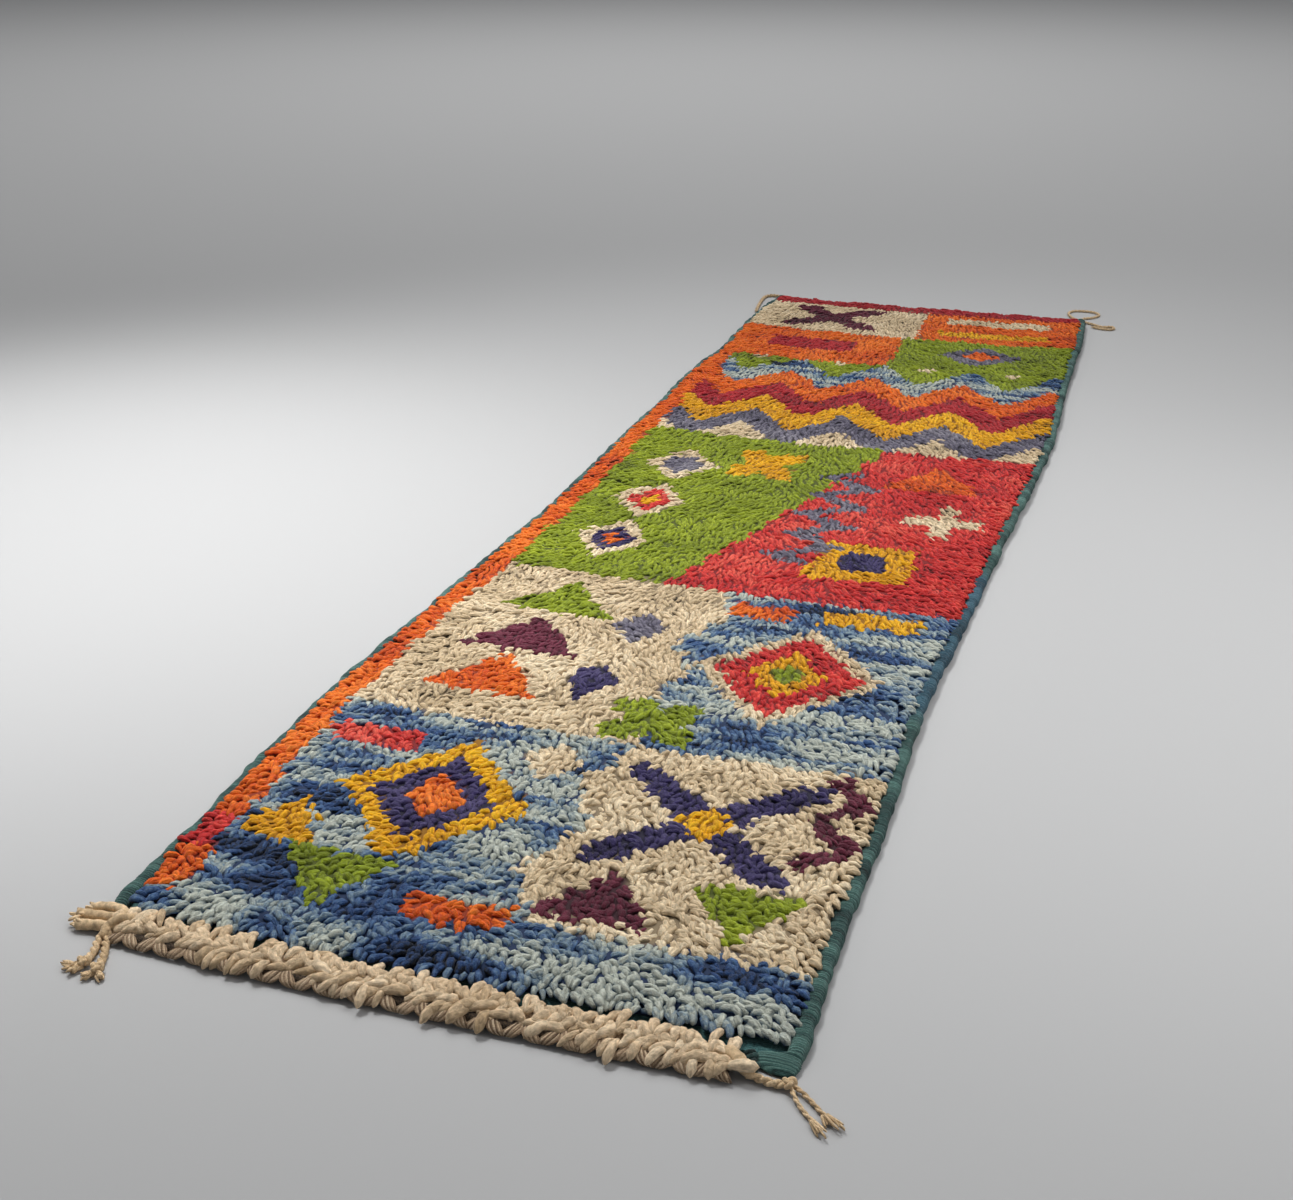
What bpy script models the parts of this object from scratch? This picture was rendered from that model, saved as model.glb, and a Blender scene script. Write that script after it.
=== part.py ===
"""A hand-knotted Moroccan pile runner, lying flat on the floor.

Metres, +Z up. X runs across the rug. Y runs along it, from the near end with the thick
braid to the plain far end. The origin is on the floor, under the middle of the cloth.
"""

import math
import random
from collections import namedtuple

import bmesh
import bpy
import numpy as np
from mathutils import Vector

# Driving sizes of the cloth
CLOTH_LENGTH = 3.000
CLOTH_THICK = 0.004
NEAR_END = -CLOTH_LENGTH / 2
NEAR_BOW = 0.008  # how far the middle of the near end swings out
GAP = 0.0003  # left between pieces that touch

# Pile
PILE_START = 0.026  # flat weave left bare at the near end
PILE_END = 2.986
PILE_TOP = 0.0245
PILE_LUMP = 0.0030
RIM_TOP = 0.0212
RIM_LUMP = 0.0006
LEFT_CORNER_CUT = 0.014  # how far the pile stands back from each side at the near end
RIGHT_CORNER_CUT = 0.008
CORNER_FADES = 0.110  # and how far up the rug it is back at the side

# Selvedge cords along both sides
CORD_WIDE = 0.018
CORD_HIGH = 0.0146
CORD_UNEVEN = 0.0011
CORD_END_TAPER = 0.8

# End finishes
BRAID_LEFT = -0.362
BRAID_RIGHT = 0.345
BRAID_PITCH = 0.0180  # one looped knot of warp ends
BRAID_RIDGE = 0.16
BRAID_STEPS = 4  # sections for each knot
BAND_DEEP = 0.012
BAND_HIGH = 0.0052

# How finely the cloth is divided
ACROSS = 10
ALONG = 36

# The outline, a row for each place along the rug. left and right are the outer edges of
# the selvedges, and the lifts are how far each edge stands off the floor there.
Edge = namedtuple("Edge", "along left right lift_left lift_right")
EDGES = [
    Edge(0.00, -0.396, 0.398, 0.000, 0.000),
    Edge(0.20, -0.404, 0.389, 0.000, 0.000),
    Edge(0.38, -0.415, 0.390, 0.001, 0.000),
    Edge(0.56, -0.422, 0.386, 0.002, 0.002),
    Edge(0.72, -0.419, 0.379, 0.000, 0.005),
    Edge(0.88, -0.416, 0.381, 0.000, 0.003),
    Edge(1.05, -0.410, 0.389, 0.002, 0.000),
    Edge(1.25, -0.402, 0.394, 0.003, 0.000),
    Edge(1.42, -0.404, 0.399, 0.000, 0.002),
    Edge(1.60, -0.410, 0.408, 0.000, 0.004),
    Edge(1.80, -0.413, 0.414, 0.003, 0.002),
    Edge(2.00, -0.417, 0.418, 0.000, 0.000),
    Edge(2.15, -0.420, 0.413, 0.004, 0.005),
    Edge(2.30, -0.419, 0.406, 0.005, 0.000),
    Edge(2.45, -0.412, 0.403, 0.000, 0.004),
    Edge(2.62, -0.417, 0.400, 0.005, 0.006),
    Edge(2.78, -0.423, 0.398, 0.002, 0.002),
    Edge(2.90, -0.419, 0.393, 0.004, 0.004),
    Edge(3.00, -0.412, 0.384, 0.000, 0.000),
]
LIFT_FADES_AT = 2 / ACROSS  # share of the width where a lifted edge is down again
LIFT_HALFWAY = 0.35  # what is left of the lift at half that share

# Rows of the woven cloth where it is divided. Between two rows it runs straight.
ROWS = [0.0, *np.linspace(PILE_START, PILE_END, ALONG + 1), CLOTH_LENGTH]
FIRST_PILE_ROW = 1
LAST_PILE_ROW = ALONG + 1
BOW_FADES_AT = ROWS[FIRST_PILE_ROW + 6]

# The bare weave between the near end and the pile, wider towards the right
BareWeave = namedtuple("BareWeave", "share deep")
BARE_WEAVE = [
    BareWeave(0.00, 0.022),
    BareWeave(0.35, 0.024),
    BareWeave(0.60, 0.030),
    BareWeave(1.00, 0.032),
]

# The right cord's foot: where it runs on past the cloth's near end it fans out inwards
FootRing = namedtuple("FootRing", "past inwards high")
CORD_FOOT = [
    FootRing(0.0240, 0.008, 0.0070),
    FootRing(0.0190, 0.028, 0.0090),
    FootRing(0.0120, 0.031, 0.0105),
    FootRing(0.0045, 0.031, 0.0110),
    FootRing(0.0006, 0.000, 0.0135),
]

# Locks of yarn that hang over the pile's rim: from least to most where there are two sizes
Locks = namedtuple("Locks", "pitch wide high reach root_height droop")
SIDE_LOCKS = Locks(0.0335, (0.017, 0.025), 0.0042, (0.003, 0.010), (0.0181, 0.0181), 0.0005)
END_LOCKS = Locks(0.0360, (0.016, 0.026), 0.0090, (0.002, 0.006), (0.0125, 0.0160), 0.003)
SIDE_LOCK_MARGIN = 0.03  # the first and last side lock, from the pile's ends
SIDE_LOCK_SKEW = (-0.35, 0.15)
END_LOCK_MARGIN = 0.03  # share of the width
LOCK_ROOT = 0.006  # how deep a lock starts inside the slab
LOCK_TIP = 0.45  # a lock's width at its tip, against its root

WOOL = {
    "teal": (0.045, 0.125, 0.125),
    "cream": (0.66, 0.56, 0.42),
    "roving": (0.60, 0.49, 0.36),
    "brick": (0.48, 0.10, 0.05),
}
WOOL_ROUGHNESS = 0.9


def clear_scene():
    for item in list(bpy.data.objects):
        bpy.data.objects.remove(item, do_unlink=True)


def yarn_material(name):
    found = bpy.data.materials.get(name)
    if found:
        return found
    material = bpy.data.materials.new(name)
    material.use_nodes = True
    shader = material.node_tree.nodes["Principled BSDF"]
    shader.inputs["Base Color"].default_value = (*WOOL[name], 1.0)
    shader.inputs["Roughness"].default_value = WOOL_ROUGHNESS
    shader.inputs["Metallic"].default_value = 0.0
    return material


def solid(name, points, faces, yarn):
    """A new object from points and faces, its faces turned outwards."""
    mesh = bpy.data.meshes.new(name)
    mesh.from_pydata([tuple(point) for point in points], [], faces)
    shape = bmesh.new()
    shape.from_mesh(mesh)
    bmesh.ops.recalc_face_normals(shape, faces=shape.faces[:])
    shape.to_mesh(mesh)
    shape.free()
    mesh.materials.append(yarn_material(yarn))
    item = bpy.data.objects.new(name, mesh)
    bpy.context.scene.collection.objects.link(item)
    return item


def fuse(item, others):
    """Joins the other objects to this one with Boolean unions and keeps one mesh."""
    for other in others:
        union = item.modifiers.new("join", "BOOLEAN")
        union.operation = "UNION"
        union.solver = "EXACT"
        union.object = other
    bpy.context.view_layer.update()
    graph = bpy.context.evaluated_depsgraph_get()
    joined = bpy.data.meshes.new_from_object(item.evaluated_get(graph))
    item.modifiers.clear()
    item.data = joined
    for other in others:
        bpy.data.objects.remove(other, do_unlink=True)
    return item


def edge(along, column):
    """One column of the outline at a place along the rug, straight between rows."""
    table = [row.along for row in EDGES]
    at_rows = np.interp(ROWS, table, [getattr(row, column) for row in EDGES])
    return float(np.interp(along, ROWS, at_rows))


def bow(share):
    """How far the near end is out of straight at this share of the width."""
    shares = np.linspace(0, 1, ACROSS + 1)
    return float(np.interp(share, shares, NEAR_BOW * 4 * shares * (1 - shares)))


def lift(share, along):
    """How far the underside stands off the floor."""
    fade = [LIFT_FADES_AT / 2, LIFT_FADES_AT]
    from_left = np.interp(share, [0, *fade], [1, LIFT_HALFWAY, 0])
    from_right = np.interp(1 - share, [0, *fade], [1, LIFT_HALFWAY, 0])
    return float(from_left * edge(along, "lift_left") + from_right * edge(along, "lift_right"))


def on_cloth(share, along, height):
    """A point of the cloth: share of the way across, place along, height over its underside."""
    left = edge(along, "left") + CORD_WIDE + GAP
    right = edge(along, "right") - CORD_WIDE - GAP
    y = NEAR_END + along - bow(share) * max(0.0, 1 - along / BOW_FADES_AT)
    return Vector((left + (right - left) * share, y, lift(share, along) + height))


def on_pile(share, along, height):
    """As on_cloth, with the pile's near rim aslant and its near corners cut back."""
    near = min(1.0, max(0.0, 1 - (along - PILE_START) / CORNER_FADES))
    bare = np.interp(share, [row.share for row in BARE_WEAVE], [row.deep for row in BARE_WEAVE])
    back = LEFT_CORNER_CUT * (1 - share) - RIGHT_CORNER_CUT * share
    return on_cloth(share, along, height) + Vector((back * near, (bare - PILE_START) * near, 0))


def sheet_solid(name, yarn, rows, under, over, finer, place=on_cloth):
    """A sheet between two heights. Its top is divided finer times as finely as its underside."""
    across = ACROSS * finer
    alongs = []
    for first, second in zip(rows, rows[1:]):
        alongs += list(np.linspace(first, second, finer + 1)[:-1])
    alongs.append(rows[-1])
    last = len(alongs) - 1
    points, top, bottom = [], {}, {}
    for j, along in enumerate(alongs):
        for i in range(across + 1):
            share = i / across
            top[i, j] = len(points)
            points.append(place(share, along, over(i, j, across, last)))
            on_rim = i in (0, across) or j in (0, last)
            if on_rim or (i % finer == 0 and j % finer == 0):
                bottom[i, j] = len(points)
                points.append(place(share, along, under))

    def between(start, end):
        """The rim's points between two corners of the coarse underside."""
        middle = ((start[0] + end[0]) // 2, (start[1] + end[1]) // 2)
        return [bottom[start]] + ([bottom[middle]] if finer == 2 and middle in bottom else [])

    faces = []
    for j in range(0, last, finer):
        for i in range(0, across, finer):
            a, b, c, d = (i, j), (i + finer, j), (i + finer, j + finer), (i, j + finer)
            faces.append(between(a, b) + between(b, c) + [bottom[c]])
            faces.append([bottom[a]] + between(c, d) + between(d, a))
    for j in range(last):
        for i in range(across):
            a, b, c, d = top[i, j], top[i + 1, j], top[i + 1, j + 1], top[i, j + 1]
            faces += [[a, b, c], [a, c, d]]
    rim = [(i, 0) for i in range(across)] + [(across, j) for j in range(last)]
    rim += [(i, last) for i in range(across, 0, -1)] + [(0, j) for j in range(last, 0, -1)]
    for start, end in zip(rim, rim[1:] + rim[:1]):
        faces.append([bottom[start], bottom[end], top[end], top[start]])
    return solid(name, points, faces, yarn)


def ground_weave():
    return sheet_solid(
        "ground_weave", "teal", ROWS, 0.0, lambda i, j, across, last: CLOTH_THICK, 1
    )


def lock(root, outwards, wide, high, reach, droop):
    """Points of one wedge-shaped lock of yarn, rooted inside the slab."""
    along = Vector((-outwards.y, outwards.x, 0)) * wide / 2
    up = Vector((0, 0, high / 2))
    start = root - outwards * LOCK_ROOT
    tip = root + outwards * reach - Vector((0, 0, droop))
    return [
        start - along - up,
        start + along - up,
        start + along + up,
        start - along + up,
        tip - along * LOCK_TIP,
        tip + along * LOCK_TIP,
    ]


LOCK_FACES = [(0, 3, 2, 1), (0, 1, 5, 4), (3, 4, 5, 2), (0, 4, 3), (1, 2, 5)]


def rim_locks():
    """All the locks of the pile's rim as one object of separate wedges."""
    pick = random.Random(7)
    wedges = []

    def add(locks, share, along, outwards):
        root = on_pile(share, along, pick.uniform(*locks.root_height))
        wide, reach = pick.uniform(*locks.wide), pick.uniform(*locks.reach)
        wedges.append(lock(root, outwards, wide, locks.high, reach, locks.droop))

    first, last = PILE_START + SIDE_LOCK_MARGIN, PILE_END - SIDE_LOCK_MARGIN
    for share, outwards in ((0.0, -1), (1.0, 1)):
        for along in np.arange(first, last, SIDE_LOCKS.pitch):
            skew = Vector((outwards, pick.uniform(*SIDE_LOCK_SKEW), 0)).normalized()
            add(SIDE_LOCKS, share, along, skew)
    width = edge(PILE_START, "right") - edge(PILE_START, "left")
    end_shares = np.arange(END_LOCK_MARGIN, 1 - END_LOCK_MARGIN, END_LOCKS.pitch / width)
    for along, outwards in ((PILE_START, -1), (PILE_END, 1)):
        for share in end_shares:
            add(END_LOCKS, share, along, Vector((0, outwards, 0)))
    points = [point for wedge in wedges for point in wedge]
    faces = [
        [6 * number + corner for corner in face]
        for number in range(len(wedges))
        for face in LOCK_FACES
    ]
    return solid("rim_locks", points, faces, "cream")


def pile():
    pick = random.Random(3)

    def top_height(i, j, across, last):
        """Lumps of knotted yarn, lower round the rim."""
        bump = pick.uniform(-1, 1)
        if i in (0, across) or j in (0, last):
            return RIM_TOP + RIM_LUMP * bump
        return PILE_TOP + PILE_LUMP * bump

    rows = ROWS[FIRST_PILE_ROW:LAST_PILE_ROW + 1]
    slab = sheet_solid("pile", "cream", rows, CLOTH_THICK + GAP, top_height, 2, on_pile)
    return fuse(slab, [rim_locks()])


def loft(name, rings, yarn):
    """A closed solid through rings of points, all with the same number of points."""
    count = len(rings[0])
    points = [point for ring in rings for point in ring]
    faces = [list(range(count)), [len(points) - count + k for k in range(count)]]
    for start in range(0, len(points) - count, count):
        for k in range(count):
            after = (k + 1) % count
            ring = [start + k, start + after, start + count + after, start + count + k]
            faces += [ring[:3], [ring[0], ring[2], ring[3]]]
    return solid(name, points, faces, yarn)


# The selvedge cord's section: out from the cloth, and up from its underside. The cloth's
# edge and the pile meet its upright inner side.
CordPoint = namedtuple("CordPoint", "out up")
CORD_SECTION = [
    CordPoint(0.00, 0.05),
    CordPoint(0.00, 0.62),
    CordPoint(0.16, 0.90),
    CordPoint(0.42, 1.00),
    CordPoint(0.72, 0.90),
    CordPoint(0.95, 0.62),
    CordPoint(1.00, 0.36),
    CordPoint(0.88, 0.10),
    CordPoint(0.66, 0.00),
    CordPoint(0.18, 0.00),
]


def cord_ring(inner, outer, along, base, high):
    """One ring of a selvedge cord, its first points on the inner side."""
    return [
        Vector((inner + (outer - inner) * p.out, NEAR_END + along, base + high * p.up))
        for p in CORD_SECTION
    ]


def selvedge(side):
    """The overcast cord along one side. The right one has a foot past the cloth's near end."""
    pick = random.Random(11 if side == "left" else 12)
    sign = -1 if side == "left" else 1
    alongs = []
    for first, second in zip(ROWS, ROWS[1:]):
        middle = [(first + second) / 2] if second - first > 2 * PILE_START else []
        alongs += [first, *middle]
    alongs += [ROWS[-1], ROWS[-1] + BAND_DEEP]
    rings = []
    if side == "right":
        outer = edge(0.0, side)
        inner = outer - CORD_WIDE
        for ring in CORD_FOOT:
            rings.append(cord_ring(inner - ring.inwards, outer, -ring.past, 0.0, ring.high))
    for along in alongs:
        inside = min(along, CLOTH_LENGTH)
        tapered = along == alongs[-1] or (along == alongs[0] and side == "left")
        size = CORD_END_TAPER if tapered else 1.0
        wide = CORD_WIDE * size + pick.uniform(-1, 1) * CORD_UNEVEN
        high = CORD_HIGH * size + pick.uniform(-1, 0.3) * CORD_UNEVEN
        inner = edge(inside, side) - sign * CORD_WIDE
        base = lift(0.0 if side == "left" else 1.0, inside)
        rings.append(cord_ring(inner, inner + sign * wide, along, base, high))
    return loft("selvedge_" + side, rings, "teal")


# The braid's section: out from the cloth's near end, and up from the floor. Its low inner
# side stands against the cloth's edge, and above that it laps over the bare weave.
BraidPoint = namedtuple("BraidPoint", "out up ridge")
BRAID_SECTION = [
    BraidPoint(0.006, 0.0000, 0.0),
    BraidPoint(GAP, 0.0036, 0.0),
    BraidPoint(GAP, 0.0047, 0.0),
    BraidPoint(-0.006, 0.0086, 0.3),
    BraidPoint(-0.007, 0.0150, 0.8),
    BraidPoint(0.002, 0.0215, 1.0),
    BraidPoint(0.015, 0.0245, 1.0),
    BraidPoint(0.030, 0.0220, 1.0),
    BraidPoint(0.042, 0.0145, 1.0),
    BraidPoint(0.045, 0.0060, 0.6),
    BraidPoint(0.038, 0.0000, 0.0),
]
BRAID_CORE = (0.019, 0.010)
BRAID_SLANT = 0.75
BRAID_TAPER = 0.045


def end_braid():
    """The warp ends, looped and braided along the near end, with slanting ridges."""
    pick = random.Random(5)
    knots = round((BRAID_RIGHT - BRAID_LEFT) / BRAID_PITCH)
    sections = knots * BRAID_STEPS
    inner_left = edge(0.0, "left") + CORD_WIDE + GAP
    inner_right = edge(0.0, "right") - CORD_WIDE - GAP
    sizes = [pick.uniform(0.9, 1.08) for _ in range(knots + 1)]
    rings = []
    for number in range(sections + 1):
        x = BRAID_LEFT + (BRAID_RIGHT - BRAID_LEFT) * number / sections
        base = NEAR_END - bow((x - inner_left) / (inner_right - inner_left))
        from_end = min(x - BRAID_LEFT, BRAID_RIGHT - x)
        taper = 0.72 + 0.28 * min(1.0, from_end / BRAID_TAPER)
        size = sizes[number // BRAID_STEPS] * taper
        ring = []
        for k, point in enumerate(BRAID_SECTION):
            fold = abs(k - 6) * BRAID_SLANT
            wave = math.cos(2 * math.pi * number / BRAID_STEPS + fold)
            swell = size * (1 + BRAID_RIDGE * wave) if point.ridge else 1.0
            swell = 1 + (swell - 1) * point.ridge
            out = BRAID_CORE[0] + (point.out - BRAID_CORE[0]) * swell
            up = BRAID_CORE[1] + (point.up - BRAID_CORE[1]) * swell
            ring.append(Vector((x, base - out, max(up, 0.0))))
        rings.append(ring)
    return loft("end_braid", rings, "roving")


def end_band():
    """The narrow band of brick weft that ends the cloth at the far end."""
    inner_left = edge(CLOTH_LENGTH, "left") + CORD_WIDE + GAP
    inner_right = edge(CLOTH_LENGTH, "right") - CORD_WIDE - GAP
    y = NEAR_END + CLOTH_LENGTH + GAP
    rings = []
    for number in range(ACROSS + 1):
        x = inner_left + (inner_right - inner_left) * number / ACROSS
        high = BAND_HIGH - 0.0008 * (number % 2)
        rings.append(
            [
                Vector((x, y, 0.0)),
                Vector((x, y, high)),
                Vector((x, y + BAND_DEEP * 0.8, high)),
                Vector((x, y + BAND_DEEP, high * 0.4)),
                Vector((x, y + BAND_DEEP, 0.0)),
            ]
        )
    return loft("end_band", rings, "brick")


# A strand's route, a row for each bend: where, how high its underside is, and its size.
Bend = namedtuple("Bend", "x y low wide high")


def strand(bends):
    """A four-sided strand with a level underside, along its bends."""
    rings = []
    for number, bend in enumerate(bends):
        before, after = bends[max(number - 1, 0)], bends[min(number + 1, len(bends) - 1)]
        way = Vector((after.x - before.x, after.y - before.y, 0)).normalized()
        side = Vector((-way.y, way.x, 0)) * bend.wide / 2
        middle = Vector((bend.x, bend.y, bend.low))
        up = Vector((0, 0, bend.high))
        rings.append([middle - side, middle + side, middle + side * 0.7 + up, middle - side * 0.7 + up])
    return loft("strand", rings, "roving")


def tassel(name, head, strands):
    """A corner's loose ends: strands fused at their roots into one head."""
    item = fuse(strand(head), [strand(bends) for bends in strands])
    item.name = item.data.name = name
    return item


def near_left_tassel():
    start = BRAID_LEFT - GAP
    head = [
        Bend(start, -1.5220, 0.0, 0.034, 0.0200),
        Bend(start - 0.010, -1.5220, 0.0, 0.034, 0.0190),
        Bend(start - 0.020, -1.5220, 0.0, 0.024, 0.0160),
    ]
    upper_roving = [
        Bend(-0.3700, -1.5120, 0.0062, 0.0110, 0.0110),
        Bend(-0.3960, -1.5060, 0.0060, 0.0110, 0.0110),
        Bend(-0.4200, -1.5070, 0.0030, 0.0090, 0.0090),
    ]
    lower_roving = [
        Bend(-0.3680, -1.5230, 0.0021, 0.0190, 0.0150),
        Bend(-0.3960, -1.5240, 0.0011, 0.0190, 0.0150),
        Bend(-0.4220, -1.5270, 0.0000, 0.0180, 0.0130),
    ]
    long_cord = [
        Bend(-0.3720, -1.5320, 0.0, 0.0100, 0.0120),
        Bend(-0.3720, -1.5480, 0.0, 0.0090, 0.0090),
        Bend(-0.3680, -1.5620, 0.0, 0.0075, 0.0070),
        Bend(-0.3620, -1.5790, 0.0, 0.0070, 0.0070),
        Bend(-0.3630, -1.5890, 0.0, 0.0130, 0.0100),
        Bend(-0.3690, -1.5950, 0.0, 0.0110, 0.0090),
        Bend(-0.3860, -1.5990, 0.0, 0.0070, 0.0070),
    ]
    long_cord_fork = [
        Bend(-0.3650, -1.5910, 0.0, 0.0080, 0.0080),
        Bend(-0.3670, -1.6140, 0.0, 0.0075, 0.0065),
    ]
    short_cord = [
        Bend(-0.3700, -1.5300, 0.0, 0.0100, 0.0110),
        Bend(-0.3630, -1.5500, 0.0, 0.0075, 0.0080),
        Bend(-0.3530, -1.5680, 0.0, 0.0070, 0.0075),
        Bend(-0.3440, -1.5860, 0.0, 0.0070, 0.0070),
        Bend(-0.3430, -1.5950, 0.0, 0.0130, 0.0100),
        Bend(-0.3450, -1.6030, 0.0, 0.0120, 0.0095),
        Bend(-0.3480, -1.6110, 0.0, 0.0080, 0.0070),
    ]
    short_cord_fork = [
        Bend(-0.3420, -1.5970, 0.0, 0.0080, 0.0080),
        Bend(-0.3300, -1.6040, 0.0, 0.0075, 0.0065),
    ]
    strands = [upper_roving, lower_roving, long_cord, long_cord_fork, short_cord, short_cord_fork]
    return tassel("tassel_near_left", head, strands)


def near_right_tassel():
    start = BRAID_RIGHT + GAP
    head = [
        Bend(start, -1.5310, 0.0, 0.0200, 0.0120),
        Bend(start + 0.012, -1.5310, 0.0, 0.0130, 0.0090),
        Bend(start + 0.034, -1.5390, 0.0, 0.0090, 0.0080),
        Bend(start + 0.044, -1.5370, 0.0, 0.0140, 0.0110),
        Bend(start + 0.054, -1.5370, 0.0, 0.0130, 0.0100),
    ]
    outer_ply = [
        Bend(0.3950, -1.5370, 0.0, 0.0070, 0.0070),
        Bend(0.4120, -1.5450, 0.0, 0.0055, 0.0055),
        Bend(0.4280, -1.5600, 0.0, 0.0055, 0.0055),
        Bend(0.4420, -1.5720, 0.0, 0.0085, 0.0050),
    ]
    inner_ply = [
        Bend(0.3940, -1.5380, 0.0, 0.0070, 0.0070),
        Bend(0.4020, -1.5530, 0.0, 0.0055, 0.0055),
        Bend(0.4160, -1.5680, 0.0, 0.0055, 0.0055),
        Bend(0.4310, -1.5820, 0.0, 0.0080, 0.0050),
    ]
    return tassel("tassel_near_right", head, [outer_ply, inner_ply])


def far_left_tassel():
    far = NEAR_END + CLOTH_LENGTH + BAND_DEEP + GAP
    head = [
        Bend(-0.4040, far, 0.0, 0.0110, 0.0110),
        Bend(-0.4040, far + 0.009, 0.0, 0.0130, 0.0110),
        Bend(-0.4060, far + 0.016, 0.0, 0.0090, 0.0080),
    ]
    folded_cord = [
        Bend(-0.4050, far + 0.010, 0.0, 0.0080, 0.0080),
        Bend(-0.4230, far + 0.024, 0.0, 0.0080, 0.0080),
        Bend(-0.4440, far + 0.024, 0.0, 0.0080, 0.0080),
        Bend(-0.4550, far + 0.006, 0.0, 0.0080, 0.0080),
        Bend(-0.4540, far - 0.030, 0.0, 0.0080, 0.0080),
        Bend(-0.4470, far - 0.090, 0.0, 0.0080, 0.0080),
        Bend(-0.4370, far - 0.150, 0.0, 0.0110, 0.0070),
    ]
    return tassel("tassel_far_left", head, [folded_cord])


def far_right_tassel():
    far = NEAR_END + CLOTH_LENGTH + BAND_DEEP + GAP
    head = [
        Bend(0.3760, far, 0.0, 0.0110, 0.0110),
        Bend(0.3760, far + 0.009, 0.0, 0.0150, 0.0110),
        Bend(0.3780, far + 0.018, 0.0, 0.0100, 0.0080),
    ]
    open_loop = [
        Bend(0.3750, far + 0.010, 0.0, 0.0060, 0.0060),
        Bend(0.3520, far + 0.040, 0.0, 0.0060, 0.0060),
        Bend(0.3360, far + 0.085, 0.0, 0.0060, 0.0060),
        Bend(0.3480, far + 0.118, 0.0, 0.0060, 0.0060),
        Bend(0.3900, far + 0.122, 0.0, 0.0060, 0.0060),
        Bend(0.4120, far + 0.096, 0.0, 0.0060, 0.0060),
        Bend(0.4000, far + 0.062, 0.0, 0.0060, 0.0060),
        Bend(0.3790, far + 0.045, 0.0, 0.0060, 0.0060),
    ]
    long_loop = [
        Bend(0.3810, far + 0.006, 0.0, 0.0060, 0.0060),
        Bend(0.4020, far - 0.006, 0.0, 0.0060, 0.0060),
        Bend(0.4280, far - 0.026, 0.0, 0.0060, 0.0060),
        Bend(0.4500, far - 0.020, 0.0, 0.0060, 0.0060),
        Bend(0.4600, far - 0.032, 0.0, 0.0060, 0.0060),
        Bend(0.4500, far - 0.048, 0.0, 0.0060, 0.0060),
        Bend(0.4280, far - 0.046, 0.0, 0.0060, 0.0060),
        Bend(0.4100, far - 0.038, 0.0, 0.0060, 0.0060),
    ]
    return tassel("tassel_far_right", head, [open_loop, long_loop])


def build_rug():
    clear_scene()
    ground_weave()
    pile()
    selvedge("left")
    selvedge("right")
    end_braid()
    end_band()
    near_left_tassel()
    near_right_tassel()
    far_left_tassel()
    far_right_tassel()


build_rug()
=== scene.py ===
import math
from collections import namedtuple

import bpy
import numpy as np
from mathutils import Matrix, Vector, noise
from mathutils.bvhtree import BVHTree


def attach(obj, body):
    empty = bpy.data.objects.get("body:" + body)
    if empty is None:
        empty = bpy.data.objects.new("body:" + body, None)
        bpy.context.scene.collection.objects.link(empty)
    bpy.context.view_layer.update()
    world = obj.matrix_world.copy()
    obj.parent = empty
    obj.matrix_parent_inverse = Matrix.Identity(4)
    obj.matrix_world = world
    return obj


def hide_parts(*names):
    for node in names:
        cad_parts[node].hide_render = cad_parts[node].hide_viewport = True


# A knotted Moroccan runner: thousands of wool tufts on a flat weave, wrapped side cords,
# a fat braid at the near end, a narrow band at the far end and cords at the corners.
# Metres, Z up.

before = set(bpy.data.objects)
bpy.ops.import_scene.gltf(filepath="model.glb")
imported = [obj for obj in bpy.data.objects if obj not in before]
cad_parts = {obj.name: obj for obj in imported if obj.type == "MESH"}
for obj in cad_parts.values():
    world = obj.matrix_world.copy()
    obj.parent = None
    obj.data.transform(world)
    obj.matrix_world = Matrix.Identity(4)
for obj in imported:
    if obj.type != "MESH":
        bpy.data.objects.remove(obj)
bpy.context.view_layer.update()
rng = np.random.default_rng(24)


# Lines of the frame that the pieces follow.

def nodePoints(node):
    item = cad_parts[node]
    return np.array([item.matrix_world @ vertex.co for vertex in item.data.vertices])


def cordLine(node):
    # the rings of a side cord: where each is, its two sides, its underside and its top
    points = nodePoints(node)
    places = np.round(points[:, 1], 4)
    rings = [points[places == place] for place in np.unique(places)]
    measures = {"y": (np.mean, 1), "left": (np.min, 0), "right": (np.max, 0),
                "low": (np.min, 2), "top": (np.max, 2)}
    return {key: np.array([measure(ring[:, axis]) for ring in rings])
            for key, (measure, axis) in measures.items()}


def downOnto(node):
    # a function that gives the height of the node's upper side at a place, or None
    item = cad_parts[node]
    points = [item.matrix_world @ vertex.co for vertex in item.data.vertices]
    tree = BVHTree.FromPolygons(points, [tuple(face.vertices) for face in item.data.polygons])
    above = Vector((0, 0, 1))

    def height(x, y):
        hit = tree.ray_cast(Vector((x, y, 0)) + above, -above)[0]
        return None if hit is None else hit.z
    return height


nearRowDeep = 0.012  # the weave's points this close to its near end make its near edge
offFloor = 0.001

leftCord = cordLine("selvedge_left")
rightCord = cordLine("selvedge_right")
weavePoints = nodePoints("ground_weave")
weaveTop = downOnto("ground_weave")
nearRow = weavePoints[weavePoints[:, 1] < weavePoints[:, 1].min() + nearRowDeep]
nearRow = nearRow[np.argsort(nearRow[:, 0])]
nearCorner = nearRow[[0, -1], 1].max()
nearMiddle = nearRow[:, 1].mean()
farEnd = weavePoints[:, 1].max()
farRim = nodePoints("end_band")[:, 1].max()
clothThick = float(np.median(weavePoints[weavePoints[:, 2] > offFloor][:, 2]))
print("frame read", round(farEnd, 3), round(clothThick, 4))


def leftEdge(y):
    return np.interp(np.maximum(y, nearCorner), leftCord["y"], leftCord["right"])


def rightEdge(y):
    return np.interp(np.maximum(y, nearCorner), rightCord["y"], rightCord["left"])


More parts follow.
